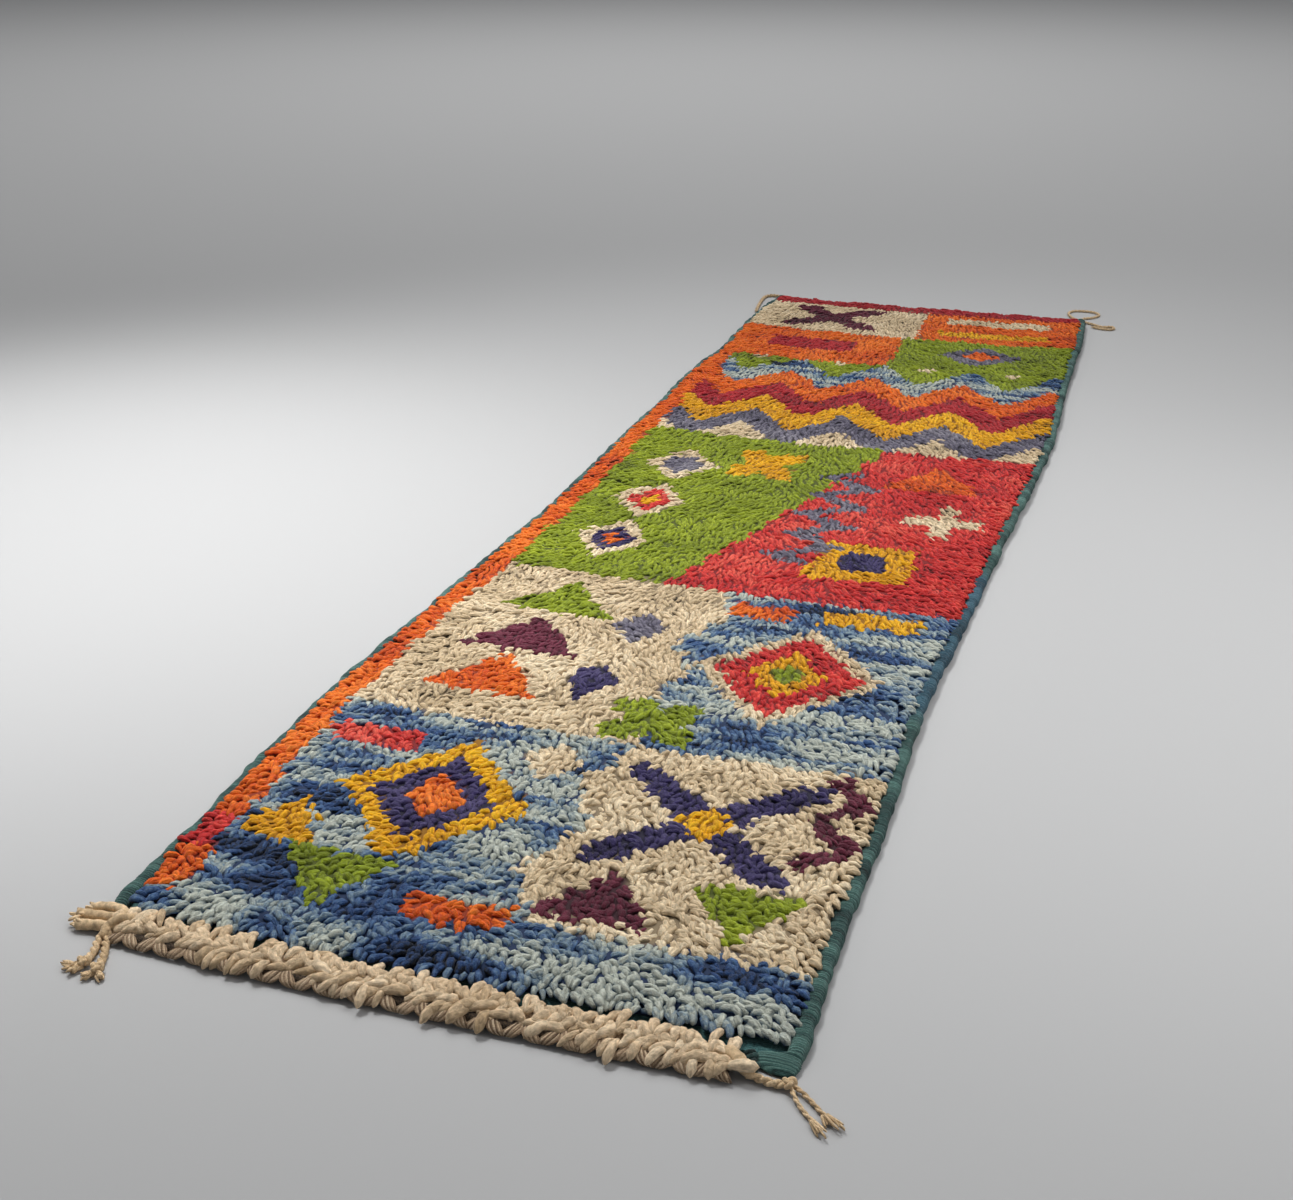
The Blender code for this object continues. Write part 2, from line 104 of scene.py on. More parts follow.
def acrossAt(y, share):
    # where a share of the width between the side cords lies
    return leftEdge(y) + (rightEdge(y) - leftEdge(y)) * share


def nearEdge(x):
    return np.interp(x, nearRow[:, 0], nearRow[:, 1])


def liftAt(x, y):
    # how far the cloth's upper side stands off the floor at a place
    height = weaveTop(float(x), float(y))
    return clothThick if height is None else height


# Colours and materials.

yarnTones = {  # each yarn's tones from dark to light, as seen in daylight, 0 to 255
    "cream": [(180, 158, 124), (204, 182, 148), (226, 208, 176)],
    "indigo": [(34, 62, 106), (66, 94, 130), (108, 128, 142), (142, 152, 150), (174, 178, 166)],
    "red": [(162, 26, 30), (190, 44, 40), (214, 88, 70)],
    "brick": [(132, 20, 30), (154, 30, 38), (174, 42, 46)],
    "orange": [(188, 66, 10), (208, 92, 16), (224, 118, 36)],
    "green": [(100, 112, 14), (124, 138, 22), (146, 158, 34)],
    "gold": [(190, 130, 2), (210, 152, 6), (224, 172, 20)],
    "plum": [(68, 16, 34), (88, 28, 46), (108, 44, 62)],
    "navy": [(32, 24, 60), (46, 38, 80), (72, 64, 102)],
    "slate": [(74, 70, 86), (100, 96, 110), (132, 128, 136)],
}
clothTones = {
    "teal": [(30, 54, 52), (50, 80, 76), (80, 112, 104)],
    "weave": [(32, 64, 66), (54, 92, 92), (84, 122, 120)],
    "blueTeal": [(26, 50, 62), (38, 68, 82), (62, 94, 108)],
    "roving": [(164, 140, 108), (196, 172, 140), (218, 198, 168)],
    "warp": [(120, 98, 76), (172, 148, 120), (206, 184, 156)],
    "cordPly": [(166, 140, 106), (198, 172, 136), (216, 192, 158)],
    "weft": [(120, 34, 18), (150, 48, 24), (168, 62, 34)],
}
woolLook = {
    "roughness": 0.92,
    "sheen": 0.10,
    "sheenRoughness": 0.55,
    "specular": 0.15,
    "paintedCreaseShade": 0.30,  # painted shade: how dark a yarn is painted deep in the pile's creases, where shade falls
    # the share of the ramp that goes from the painted shade of the creases to the yarn's darkest
    # tone
    "paintedShadeShare": 0.28,
    "mottle": 0.60,
    "streak": 2.10,  # how much lighter or darker the fibres are
    "lift": 1.14,  # how light the yarn is between its light and its dark fibres
    "relief": 0.0045,
    # fibres that wind along a yarn: how long and slanted, how unlike each other, how high
    "windLong": 1.1,
    "windSlant": 0.22,
    "windApart": 40.0,
    "windHigh": 1.6,
}


def linear(tone):
    # a daylight colour from 0 to 255 as the shader wants it
    parts = [value / 255 for value in tone]
    return tuple(
        part / 12.92 if part <= 0.04045 else ((part + 0.055) / 1.055) ** 2.4 for part in parts
    ) + (1.0,)


def toneRamp(nodes, tones):
    # a deep painted shade for the creases, then the yarn's own tones from dark to light
    deep = tuple(value * woolLook["paintedCreaseShade"] for value in tones[0])
    tones = [deep, *tones]
    ramp = nodes.new("ShaderNodeValToRGB")
    elements = ramp.color_ramp.elements
    while len(elements) < len(tones):
        elements.new(0.5)
    start = woolLook["paintedShadeShare"]
    for number, tone in enumerate(tones):
        place = 0.0 if number == 0 else start + (1 - start) * (number - 1) / (len(tones) - 2)
        elements[number].position = place
        elements[number].color = linear(tone)
    return ramp


def newMaterial(name, roughness):
    material = bpy.data.materials.new(name)
    material.use_nodes = True
    shader = material.node_tree.nodes["Principled BSDF"]
    shader.inputs["Roughness"].default_value = roughness
    return material, shader


def woolMaterial(name, tones, fibre=1400.0, fluff=260.0, bump=0.5, twist=0.0, other=None):
    # matt wool: a ramp of tones by the shade of each tuft, mottled by fluff and fibre
    material, shader = newMaterial(name, woolLook["roughness"])
    nodes, links = material.node_tree.nodes, material.node_tree.links
    shader.inputs["Specular IOR Level"].default_value = woolLook["specular"]
    shader.inputs["Sheen Weight"].default_value = woolLook["sheen"]
    shader.inputs["Sheen Roughness"].default_value = woolLook["sheenRoughness"]

    def attribute(key):
        node = nodes.new("ShaderNodeAttribute")
        node.attribute_name = key
        return node.outputs["Fac"]

    def scaled(value, factor, more):
        # value times factor plus more, where more is a number or another socket
        node = nodes.new("ShaderNodeMath")
        node.operation = "MULTIPLY_ADD"
        links.new(value, node.inputs[0])
        node.inputs[1].default_value = factor
        if isinstance(more, (int, float)):
            node.inputs[2].default_value = more
        else:
            links.new(more, node.inputs[2])
        return node.outputs["Value"]

    def cloud(vector, scale, detail, seed=None):
        node = nodes.new("ShaderNodeTexNoise")
        node.inputs["Scale"].default_value = scale
        node.inputs["Detail"].default_value = detail
        links.new(vector, node.inputs["Vector"])
        if seed is not None:
            node.noise_dimensions = "4D"
            links.new(seed, node.inputs["W"])
        return node.outputs["Fac"]

    place = nodes.new("ShaderNodeTexCoord")
    shade = attribute("shade")
    mottle = cloud(place.outputs["Object"], fluff, 3.0)
    tone = scaled(mottle, woolLook["mottle"], shade)
    height = cloud(place.outputs["Object"], fibre, 2.0)
    streak = height
    if twist:  # fibres that wind along the yarn, other ones on each tuft
        lines = nodes.new("ShaderNodeMapping")
        lines.inputs["Scale"].default_value = (twist, woolLook["windLong"], 1.0)
        lines.inputs["Rotation"].default_value = (0.0, 0.0, woolLook["windSlant"])
        links.new(place.outputs["UV"], lines.inputs["Vector"])
        apart = scaled(attribute("each"), woolLook["windApart"], 0.0)
        streak = cloud(lines.outputs["Vector"], 1.0, 2.0, apart)
        height = scaled(streak, woolLook["windHigh"], height)
    middle = scaled(tone, 1.0, -0.5 * woolLook["mottle"])
    ramp = toneRamp(nodes, tones)
    links.new(middle, ramp.inputs["Fac"])
    colour = ramp.outputs["Color"]
    if other:  # a second dye, where the attribute says
        second = toneRamp(nodes, other)
        links.new(middle, second.inputs["Fac"])
        blend = nodes.new("ShaderNodeMix")
        blend.data_type = "RGBA"
        links.new(attribute("dye"), blend.inputs["Factor"])
        links.new(colour, blend.inputs["A"])
        links.new(second.outputs["Color"], blend.inputs["B"])
        colour = blend.outputs["Result"]
    fibres = nodes.new("ShaderNodeHueSaturation")
    even = woolLook["lift"] - woolLook["streak"] / 2
    links.new(scaled(streak, woolLook["streak"], even), fibres.inputs["Value"])
    links.new(colour, fibres.inputs["Color"])
    links.new(fibres.outputs["Color"], shader.inputs["Base Color"])
    relief = nodes.new("ShaderNodeBump")
    relief.inputs["Strength"].default_value = bump
    relief.inputs["Distance"].default_value = woolLook["relief"]
    links.new(height, relief.inputs["Height"])
    links.new(relief.outputs["Normal"], shader.inputs["Normal"])
    return material


# Yarn, as many joined tubes.

tubeEnds = {"tip": 0.75, "root": 0.6}  # how far a tube's pointed ends stand out, in radii
paintedSideShadeFall = 1.5  # the higher, the lower down the painted shade on a tuft's sides starts


def unit(vectors):
    return vectors / np.maximum(np.linalg.norm(vectors, axis=-1, keepdims=True), 1e-9)


def smoothPath(points, count):
    # a rounded path through a few points, evenly divided
    points = np.asarray(points, float)
    places = np.linspace(0, len(points) - 1, count)
    before, beyond = 2 * points[:1] - points[1:2], 2 * points[-1:] - points[-2:-1]
    ahead = np.concatenate([before, points, beyond])
    index = np.minimum(places.astype(int), len(points) - 2)
    part = (places - index)[:, None]
    p0, p1, p2, p3 = (ahead[index + shift] for shift in range(4))
    return 0.5 * (2 * p1 + (p2 - p0) * part + (2 * p0 - 5 * p1 + 4 * p2 - p3) * part ** 2
                  + (3 * p1 - p0 - 3 * p2 + p3) * part ** 3)


def ringQuads(rings, sides, spans):
    # the faces between rings of points, with the ring and the turn at which each starts
    step, turn = np.meshgrid(np.arange(rings - 1), np.arange(spans), indexing="ij")
    step, turn = step.ravel(), turn.ravel()
    after = (turn + 1) % sides
    low, high = step * sides, (step + 1) * sides
    return np.stack([low + turn, low + after, high + after, high + turn], axis=1), step, turn


def gridQuads(rows, row):
    # the faces of a sheet of points: how many rows it has, and how many points a row
    i, j = np.meshgrid(np.arange(row - 1), np.arange(rows - 1))
    corner = (j * row + i).ravel()
    return np.stack([corner, corner + 1, corner + row + 1, corner + row], axis=1)


def tubes(paths, radii, sides, shade, sideways=None, closedRoot=False, flat=1.0,
          ringShade=0.0, lumpy=0.0, arch=None, paintedSideShade=0.0):
    # many tubes at once: paths is (tube, ring, xyz) and radii is (tube, ring); an arch is
    # open below, from its first angle to its last
    paths, radii, shade = (np.asarray(values, float) for values in (paths, radii, shade))
    count, rings = radii.shape
    way = unit(np.gradient(paths, axis=1))
    if sideways is None:
        across = unit(np.cross(way, np.array([0.02, 0.03, 1.0])))
    else:
        across = np.repeat(sideways[:, None, :], rings, axis=1)
    upward = unit(np.cross(way, across))
    angle = np.arange(sides) * 2 * np.pi / sides
    if arch:
        angle = np.radians(np.linspace(arch[0], arch[1], sides))
    ring = across[:, :, None] * np.cos(angle)[:, None]
    ring = ring + upward[:, :, None] * np.sin(angle)[:, None] * flat
    ring = ring * (1 + rng.uniform(-lumpy, lumpy, ring.shape[:3])[..., None])
    points = paths[:, :, None] + ring * radii[:, :, None, None]
    tip = paths[:, -1] + way[:, -1] * radii[:, -1, None] * tubeEnds["tip"]
    root = paths[:, 0] - way[:, 0] * radii[:, 0, None] * tubeEnds["root"]
    block = np.concatenate([points.reshape(count, -1, 3), tip[:, None], root[:, None]], axis=1)
    size = block.shape[1]

    spans = sides - 1 if arch else sides
    quads, step, turn = ringQuads(rings, sides, spans)
    quadUV = np.stack([turn[:, None] + [0, 1, 1, 0], step[:, None] + [0, 0, 1, 1]], axis=-1)
    quadUV = quadUV / [sides, 2.0]
    last = (rings - 1) * sides
    turn = np.arange(spans)
    after = (turn + 1) % sides
    caps = [np.stack([last + turn, last + after, np.full(spans, size - 2)], axis=1)]
    if closedRoot:
        caps.append(np.stack([after, turn, np.full(sides, size - 1)], axis=1))
    caps = np.concatenate(caps)
    capUV = np.full((len(caps), 3, 2), 0.5)
    offsets = np.arange(count)[:, None, None] * size
    # painted shade of each ring: darker at a tuft's root, deep in the pile
    paintedRingShade = np.zeros(rings) + ringShade
    # painted shade down each tuft's sides, where it meets its neighbours
    around = -paintedSideShade * ((1 - np.sin(angle)) / 2) ** paintedSideShadeFall
    paintedRingShade = np.concatenate([(paintedRingShade[:, None] + around).ravel(), [paintedRingShade[-1], paintedRingShade[0]]])
    return {
        "points": block.reshape(-1, 3),
        "quads": (quads[None] + offsets).reshape(-1, 4),
        "caps": (caps[None] + offsets).reshape(-1, 3),
        "quadUV": np.tile(quadUV, (count, 1, 1)),
        "capUV": np.tile(capUV, (count, 1, 1)),
        "shade": (shade[:, None] + paintedRingShade[None]).ravel(),
        "each": np.repeat(rng.random(count), size),
    }


def joined(parts):
    # several blocks of tubes as one
    offset, quads, caps = 0, [], []
    for part in parts:
        quads.append(part["quads"] + offset)
        caps.append(part["caps"] + offset)
        offset += len(part["points"])
    result = {"quads": np.concatenate(quads), "caps": np.concatenate(caps)}
    for key in ("points", "quadUV", "capUV", "shade", "each"):
        result[key] = np.concatenate([part[key] for part in parts])
    return result


def placed(name, data):
    # puts a mesh, a lamp or a camera in the scene
    item = bpy.data.objects.new(name, data)
    bpy.context.scene.collection.objects.link(item)
    return item


def meshPiece(name, node, part, material):
    # a piece of the rug in place of a node, from arrays of points, quads and triangles
    quads, caps = part["quads"], part.get("caps", np.zeros((0, 3), int))
    mesh = bpy.data.meshes.new(name)
    mesh.vertices.add(len(part["points"]))
    mesh.vertices.foreach_set("co", part["points"].astype(np.float32).ravel())
    corners = np.concatenate([quads.ravel(), caps.ravel()]).astype(np.int32)
    mesh.loops.add(len(corners))
    mesh.loops.foreach_set("vertex_index", corners)
    starts = [np.arange(len(quads)) * 4, len(quads) * 4 + np.arange(len(caps)) * 3]
    starts = np.concatenate(starts).astype(np.int32)
    mesh.polygons.add(len(starts))
    mesh.polygons.foreach_set("loop_start", starts)
    mesh.polygons.foreach_set("use_smooth", np.ones(len(starts), bool))
    mesh.update(calc_edges=True)
    if "quadUV" in part:
        uv = np.concatenate([part["quadUV"].reshape(-1, 2), part["capUV"].reshape(-1, 2)])
        mesh.uv_layers.new(name="yarn").data.foreach_set("uv", uv.astype(np.float32).ravel())
    for key in ("shade", "each", "dye"):
        if key in part:
            layer = mesh.attributes.new(key, "FLOAT", "POINT")
            layer.data.foreach_set("value", np.asarray(part[key], np.float32))
    mesh.materials.append(material)
    item = placed(name, mesh)
    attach(item, "root")
    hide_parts(node)
    return item


# Smooth drifts over the rug: waves to a metre across and along it, and a seed.
drifts = {
    "swirl": (9, 7, 3.1),
    "curl": (34, 30, 8.3),
    "swell": (26, 26, 7.7),
    "streak": (9, 21, 1.3),
    "stripe": (7, 58, 4.4),
    "patch": (4, 5, 5.2),
}


def drift(x, y, across, along, seed):
    # smooth random values from -1 to 1 at the places
    x, y = np.broadcast_arrays(np.asarray(x) * across, np.asarray(y) * along)
    return np.array([noise.noise(Vector((float(a), float(b), seed))) for a, b in zip(x, y)])


# The knotted design.

fieldPlan = {
    "wide": 0.78,  # the width that the design is drawn for
    "quarterEnd": 0.52,  # where the first two quarters stop, from the pile's near edge
    "halfEnd": 1.04,
    "bandStart": 1.80,
    "patchStart": 2.40,
    "farPatchStart": 2.66,
    "nearStrip": 0.105,
    "farStrip": 2.915,
    "middle": 0.02,
    "middleStep": 0.02,  # how far and how often the middle line steps aside
    "middlePitch": 0.21,
    "slopeStart": -0.08,  # the stepped line between the green field and the red one
    "slopeRun": 0.20,
    "slopeStep": 0.06,
    "slopeLong": 0.76,
    "borderWide": 0.036,
    "borderWaver": 0.25,
    "borderPitch": 0.17,
    "borderFrom": (0.04, 2.55),  # where the left border runs, and where it is red
    "borderRed": (0.12, 0.20),
    "chevronDeep": 0.100,
    "chevronWide": 0.19,
    "chevronHigh": 0.130,
    "zigzagPitch": 0.1,
    "ragged": 0.0035,
}
# Motifs, a row each: form, yarn, across and along the rug, and how wide and deep it is.
# The stroke is the thickness of a line form. Forms further down lie over those above.
Motif = namedtuple("Motif", "form yarn across along wide deep stroke", defaults=(0.0,))


def nested(across, along, *forms):
    # lozenges inside one another, with the yarn, width and depth of each
    return [Motif("lozenge", yarn, across, along, wide, deep) for yarn, wide, deep in forms]


motifs = [
    # first quarter, on the blended indigo
    *nested(-0.14, 0.32, ("gold", 0.250, 0.300), ("navy", 0.170, 0.205), ("orange", 0.085, 0.105)),
    Motif("falling", "green", -0.19, 0.115, 0.150, 0.110),
    Motif("rising", "gold", -0.29, 0.22, 0.110, 0.100),
    Motif("bar", "orange", -0.02, 0.10, 0.120, 0.046),
    Motif("lozenge", "cream", -0.03, 0.45, 0.090, 0.090),
    Motif("bar", "red", -0.27, 0.435, 0.120, 0.048),
    # second quarter, on cream
    Motif("ex", "navy", 0.20, 0.36, 0.250, 0.230, 0.034),
    Motif("lozenge", "gold", 0.20, 0.36, 0.070, 0.085),
    Motif("rising", "plum", 0.13, 0.18, 0.150, 0.110),
    Motif("falling", "green", 0.29, 0.18, 0.140, 0.110),
    Motif("zigzag", "plum", 0.350, 0.40, 0.044, 0.210, 0.032),
    # third quarter, on cream
    Motif("rising", "green", -0.20, 0.94, 0.190, 0.120),
    Motif("rising", "plum", -0.20, 0.80, 0.190, 0.120),
    Motif("rising", "orange", -0.20, 0.66, 0.190, 0.120),
    Motif("lozenge", "slate", -0.06, 0.87, 0.090, 0.120),
    Motif("lozenge", "navy", -0.06, 0.68, 0.080, 0.110),
    # fourth quarter, on the blended indigo
    *nested(0.20, 0.78, ("cream", 0.280, 0.330), ("red", 0.225, 0.265), ("gold", 0.120, 0.145),
            ("green", 0.055, 0.070)),
    Motif("ex", "green", 0.06, 0.59, 0.120, 0.120, 0.034),
    Motif("bar", "gold", 0.27, 0.99, 0.150, 0.048),
    Motif("bar", "orange", 0.10, 0.98, 0.090, 0.048),
    # green field
    *nested(-0.23, 1.20, ("cream", 0.135, 0.180), ("navy", 0.090, 0.120), ("orange", 0.040, 0.055)),
    *nested(-0.23, 1.40, ("cream", 0.135, 0.180), ("red", 0.090, 0.120), ("gold", 0.040, 0.055)),
    *nested(-0.23, 1.60, ("cream", 0.135, 0.180), ("slate", 0.090, 0.120)),
    Motif("ex", "gold", -0.08, 1.65, 0.120, 0.150, 0.034),
    # red field
    Motif("bar", "gold", 0.20, 1.22, 0.160, 0.160),
    Motif("bar", "navy", 0.20, 1.22, 0.080, 0.080),
    Motif("plus", "cream", 0.29, 1.44, 0.130, 0.150, 0.036),
    Motif("zigzag", "slate", 0.09, 1.42, 0.080, 0.460, 0.052),
    Motif("rising", "orange", 0.23, 1.66, 0.180, 0.140),
    # patches at the far end
    Motif("bar", "brick", -0.20, 2.54, 0.200, 0.090),
    Motif("lozenge", "slate", 0.19, 2.54, 0.190, 0.170),
    Motif("lozenge", "orange", 0.19, 2.54, 0.090, 0.080),
    Motif("ex", "plum", -0.20, 2.80, 0.220, 0.200, 0.040),
    Motif("bar", "gold", 0.20, 2.73, 0.250, 0.046),
    Motif("bar", "cream", 0.20, 2.85, 0.250, 0.056),
]
chevronYarns = ["cream", "slate", "gold", "brick", "orange", "indigo", "green"]


def triangleWave(value):
    return 2 * np.abs(value - np.floor(value + 0.5))


def covers(motif, s, t):
    # which knots the motif covers
    a, b = np.abs(s - motif.across), np.abs(t - motif.along)
    halfWide, halfDeep = motif.wide / 2, motif.deep / 2
    inside = (a < halfWide) & (b < halfDeep)
    up = (t - motif.along) / motif.deep + 0.5
    if motif.form == "lozenge":
        return a / halfWide + b / halfDeep < 1
    if motif.form == "rising":
        return inside & (a / halfWide < 1 - up)
    if motif.form == "falling":
        return inside & (a / halfWide < up)
    if motif.form == "plus":
        return inside & ((a < motif.stroke / 2) | (b < motif.stroke / 2))
    if motif.form == "ex":
        return inside & (np.abs(a / halfWide - b / halfDeep) < motif.stroke / halfWide)
    if motif.form == "zigzag":
        wave = triangleWave((t - motif.along) / fieldPlan["zigzagPitch"]) - 0.5
        line = motif.across + motif.wide * wave
        return (np.abs(s - line) < motif.stroke / 2) & (b < halfDeep)
    return inside


def yarnNames(s, t, share):
    # the yarn of each knot: across and along in metres, and its share of the width
    plan = fieldPlan
    s = s + rng.uniform(-1, 1, s.shape) * plan["ragged"]
    t = t + rng.uniform(-1, 1, t.shape) * plan["ragged"]

    def within(start, end):
        return (t >= start) & (t < end)

    yarn = np.full(s.shape, "cream", dtype="<U8")
    step = plan["middleStep"] * np.round(triangleWave(t / plan["middlePitch"]) * 2)
    left = s < plan["middle"] + step
    yarn[(t < plan["quarterEnd"]) & left] = "indigo"
    yarn[t < plan["nearStrip"]] = "indigo"
    yarn[within(plan["quarterEnd"], plan["halfEnd"]) & ~left] = "indigo"

    steps = np.round((t - plan["halfEnd"]) / plan["slopeStep"])
    slope = plan["slopeStart"] + plan["slopeRun"] * steps * plan["slopeStep"] / plan["slopeLong"]
    middleZone = within(plan["halfEnd"], plan["bandStart"])
    yarn[middleZone & (s < slope)] = "green"
    yarn[middleZone & (s >= slope)] = "red"

    climb = t - plan["bandStart"] + plan["chevronHigh"] * triangleWave(s / plan["chevronWide"])
    band = np.floor(climb / plan["chevronDeep"]).astype(int)
    bandZone = within(plan["bandStart"], plan["patchStart"])
    for number, name in enumerate(chevronYarns):
        yarn[bandZone & (band % len(chevronYarns) == number)] = name

    nearPatch = within(plan["patchStart"], plan["farPatchStart"])
    farPatch = t >= plan["farPatchStart"]
    yarn[nearPatch & (s < 0.0)] = "orange"
    yarn[nearPatch & (s >= 0.0)] = "green"
    yarn[farPatch & (s < plan["middle"])] = "cream"
    yarn[farPatch & (s >= plan["middle"])] = "orange"
    yarn[t > plan["farStrip"]] = "brick"
    for motif in motifs:
        yarn[covers(motif, s, t)] = motif.yarn

    waver = 1 + plan["borderWaver"] * triangleWave(t / plan["borderPitch"])
    border = share * plan["wide"] < plan["borderWide"] * waver
    yarn[border & within(*plan["borderFrom"])] = "orange"
    yarn[border & within(*plan["borderRed"])] = "red"
    return yarn


# The tufts of the pile.

pileTufts = {
    "acrossPitch": 0.0078,
    "alongPitch": 0.0100,
    "bareNear": [(0.0, 0.010), (0.35, 0.012), (0.60, 0.016), (1.0, 0.018)],  # share, bare weave
    "bareFar": 0.016,
    "nearRoom": 0.02,
    "edgeShare": 0.006,  # no knot is nearer to a side than this share of the width
    "cornerBack": (0.014, 0.004),  # how far the left and right corners stand back
    "cornerFades": 0.110,
    "jitter": 0.0024,
    "flat": 0.86,
    "lumpy": 0.18,
    "bend": 0.0036,
    "lean": -90.0,  # most lie towards the near end
    "rimDeep": 0.014,
    "rimTurn": 2.4,  # how much the tufts at the sides and at the ends turn outwards
    "endDeep": 0.024,
    "endTurn": 1.0,
    "sideLower": 0.12,  # how much lower the pile is at its sides and at its ends
    "endLower": 0.30,
    "overCord": (0.001, 0.011),  # how far a rim tuft may lie over the side cord
    "shortest": 0.004,
    "fineUpTo": 0.95,  # beyond this the tufts have fewer faces
    "arch": (-34.0, 214.0),  # the angles that a tuft covers, as it is open below
    "paintedSideShade": 0.94,  # painted shade: how dark a tuft's sides are painted where it meets its neighbours and shade falls
    "riseUneven": 0.09,
    "swell": 0.0022,
    "stagger": 0.0016,  # some stand higher than others
    "tones": (0.1, 1.0),  # no tuft is darker or lighter
}
# The tufts' sizes along the rug: stout ones at the near end, longer locks further up, which
# fan out to the sides.
TuftSize = namedtuple("TuftSize", "along thick reach rise uneven spread swirl curl fan")
tuftSizes = [
    TuftSize(0.00, 0.0045, 0.0134, 0.0142, 0.26, 26.0, 100.0, 120.0, 70.0),
    TuftSize(0.45, 0.0043, 0.0142, 0.0140, 0.26, 20.0, 90.0, 80.0, 80.0),
    TuftSize(1.00, 0.0040, 0.0172, 0.0138, 0.20, 14.0, 80.0, 40.0, 120.0),
    TuftSize(3.00, 0.0037, 0.0188, 0.0138, 0.20, 13.0, 80.0, 30.0, 120.0),
]
# The rings of one tuft: how far out and up it is, how thick, its share of the bend and how much
# darker or lighter it is painted there: painted shade at its root, deep in the pile, and a little
# lighter further out.
TuftRing = namedtuple("TuftRing", "out up thick bend shade")
fineTuft = [
    TuftRing(-0.22, 0.62, 0.80, 0.0, -0.40),
    TuftRing(0.16, 0.95, 1.00, 0.1, 0.0),
    TuftRing(0.60, 1.02, 1.02, 0.5, 0.05),
    TuftRing(0.98, 0.88, 0.76, 1.0, 0.0),
]
plainTuft = [
    TuftRing(-0.20, 0.66, 0.80, 0.0, -0.36),
    TuftRing(0.34, 1.00, 1.04, 0.2, 0.02),
    TuftRing(0.96, 0.92, 0.74, 1.0, 0.04),
]
# The tone of a tuft, where 0 is its yarn's darkest: what streaks, stripes and patches of the
# rug and the single tuft add. Streaks are calmer and stripes stronger away from the near end.
ToneMix = namedtuple("ToneMix", "base streak calmer stripe patch single")
evenYarn = ToneMix(0.66, 0.34, 0.0, 0.0, 0.30, 0.36)
patchDyed = {"indigo": ToneMix(0.70, 1.25, 0.65, 0.85, 0.25, 0.24)}
stripesFrom = 0.25


def bareNear(share):
    places, widths = zip(*pileTufts["bareNear"])
    return np.interp(share, places, widths)


def cornerShift(share, along):
    # the pile's near corners stand back from the side cords
    left, right = pileTufts["cornerBack"]
    near = np.clip(1 - along / pileTufts["cornerFades"], 0, 1)
    return (left * (1 - share) - right * share) * near


def knotGrid():
    # the place of every knot, with its share of the width and its distance along the pile
    plan = pileTufts
    width = np.mean(rightEdge(leftCord["y"]) - leftEdge(leftCord["y"]))
    columns = int(width / plan["acrossPitch"])
    nearY, farY = nearRow[:, 1].min() + plan["nearRoom"], farEnd - plan["bareFar"]
    rows = int((farY - nearY) / plan["alongPitch"])
    column, row = np.meshgrid(np.arange(columns), np.arange(rows))
    share = (column + 0.25 + 0.5 * (row % 2)) / columns  # each row half a knot along
    share, down = share.ravel(), ((row + 0.5) / rows).ravel()
    share = share + rng.uniform(-1, 1, share.shape) * plan["jitter"] / width
    down = down + rng.uniform(-1, 1, down.shape) * plan["jitter"] / (farY - nearY)
    share = np.clip(share, plan["edgeShare"], 1 - plan["edgeShare"])
    y = nearY + (farY - nearY) * down
    x = acrossAt(y, share)
    start = nearEdge(x) + bareNear(share)
    y = start + (farY - start) * down
    along = y - start
    return x + cornerShift(share, along), y, share, along


def plantTufts(x, y, share, along, rings):
    # paths, radii and sideways directions of the tufts
    plan = pileTufts
    count = len(x)
    size = {
        key: np.interp(along, [row.along for row in tuftSizes],
                       [getattr(row, key) for row in tuftSizes])
        for key in TuftSize._fields[1:]
    }
    ground = np.array([liftAt(a, b) for a, b in zip(x, y)])
    swirl = drift(x, y, *drifts["swirl"]) * size["swirl"]
    curl = drift(x, y, *drifts["curl"]) * size["curl"]
    fan = size["fan"] * (share - 0.5) + curl
    angle = np.radians(plan["lean"] + fan + swirl + rng.normal(0, 1, count) * size["spread"])
    way = np.stack([np.cos(angle), np.sin(angle)], axis=1)

    fromLeft = x - leftEdge(y) - cornerShift(0.0, along)
    fromRight = rightEdge(y) + cornerShift(1.0, along) - x
    fromEnds = np.minimum(along, farEnd - plan["bareFar"] - y)
    sideRim = np.clip(1 - np.minimum(fromLeft, fromRight) / plan["rimDeep"], 0, 1)
    endRim = np.clip(1 - fromEnds / plan["endDeep"], 0, 1)
    way[:, 0] += np.where(share < 0.5, -1, 1) * sideRim * plan["rimTurn"]
    way[:, 1] += np.where(along < 1, -1, 1) * endRim * plan["endTurn"]
    way = unit(way)

    def varied():
        return 1 + rng.uniform(-1, 1, count) * size["uneven"]

    radius = size["thick"] * varied()
    reach = size["reach"] * varied()
    over = rng.uniform(*plan["overCord"], count)
    room = np.where(way[:, 0] > 0, fromRight, fromLeft) + over
    room = room / np.maximum(np.abs(way[:, 0]), 0.05) - radius * 0.5
    reach = np.clip(reach, plan["shortest"], np.maximum(room, plan["shortest"]))
    rise = size["rise"] * (1 + rng.uniform(-plan["riseUneven"], plan["riseUneven"], count))
    rise = rise * (1 - np.maximum(plan["sideLower"] * sideRim, plan["endLower"] * endRim))
    rise += drift(x, y, *drifts["swell"]) * plan["swell"]
    rise += rng.uniform(-1, 1, count) * plan["stagger"]
    sideways = np.stack([-way[:, 1], way[:, 0], np.zeros(count)], axis=1)
    bend = rng.normal(0, plan["bend"], count) * np.minimum(reach / size["reach"], 1)
    paths = np.zeros((count, len(rings), 3))
    for number, ring in enumerate(rings):
        flat = np.stack([x, y], axis=1) + way * (reach * ring.out)[:, None]
        paths[:, number, :2] = flat + sideways[:, :2] * (bend * ring.bend)[:, None]
        paths[:, number, 2] = ground + rise * ring.up
    radii = radius[:, None] * np.array([ring.thick for ring in rings])
    return paths, radii, sideways


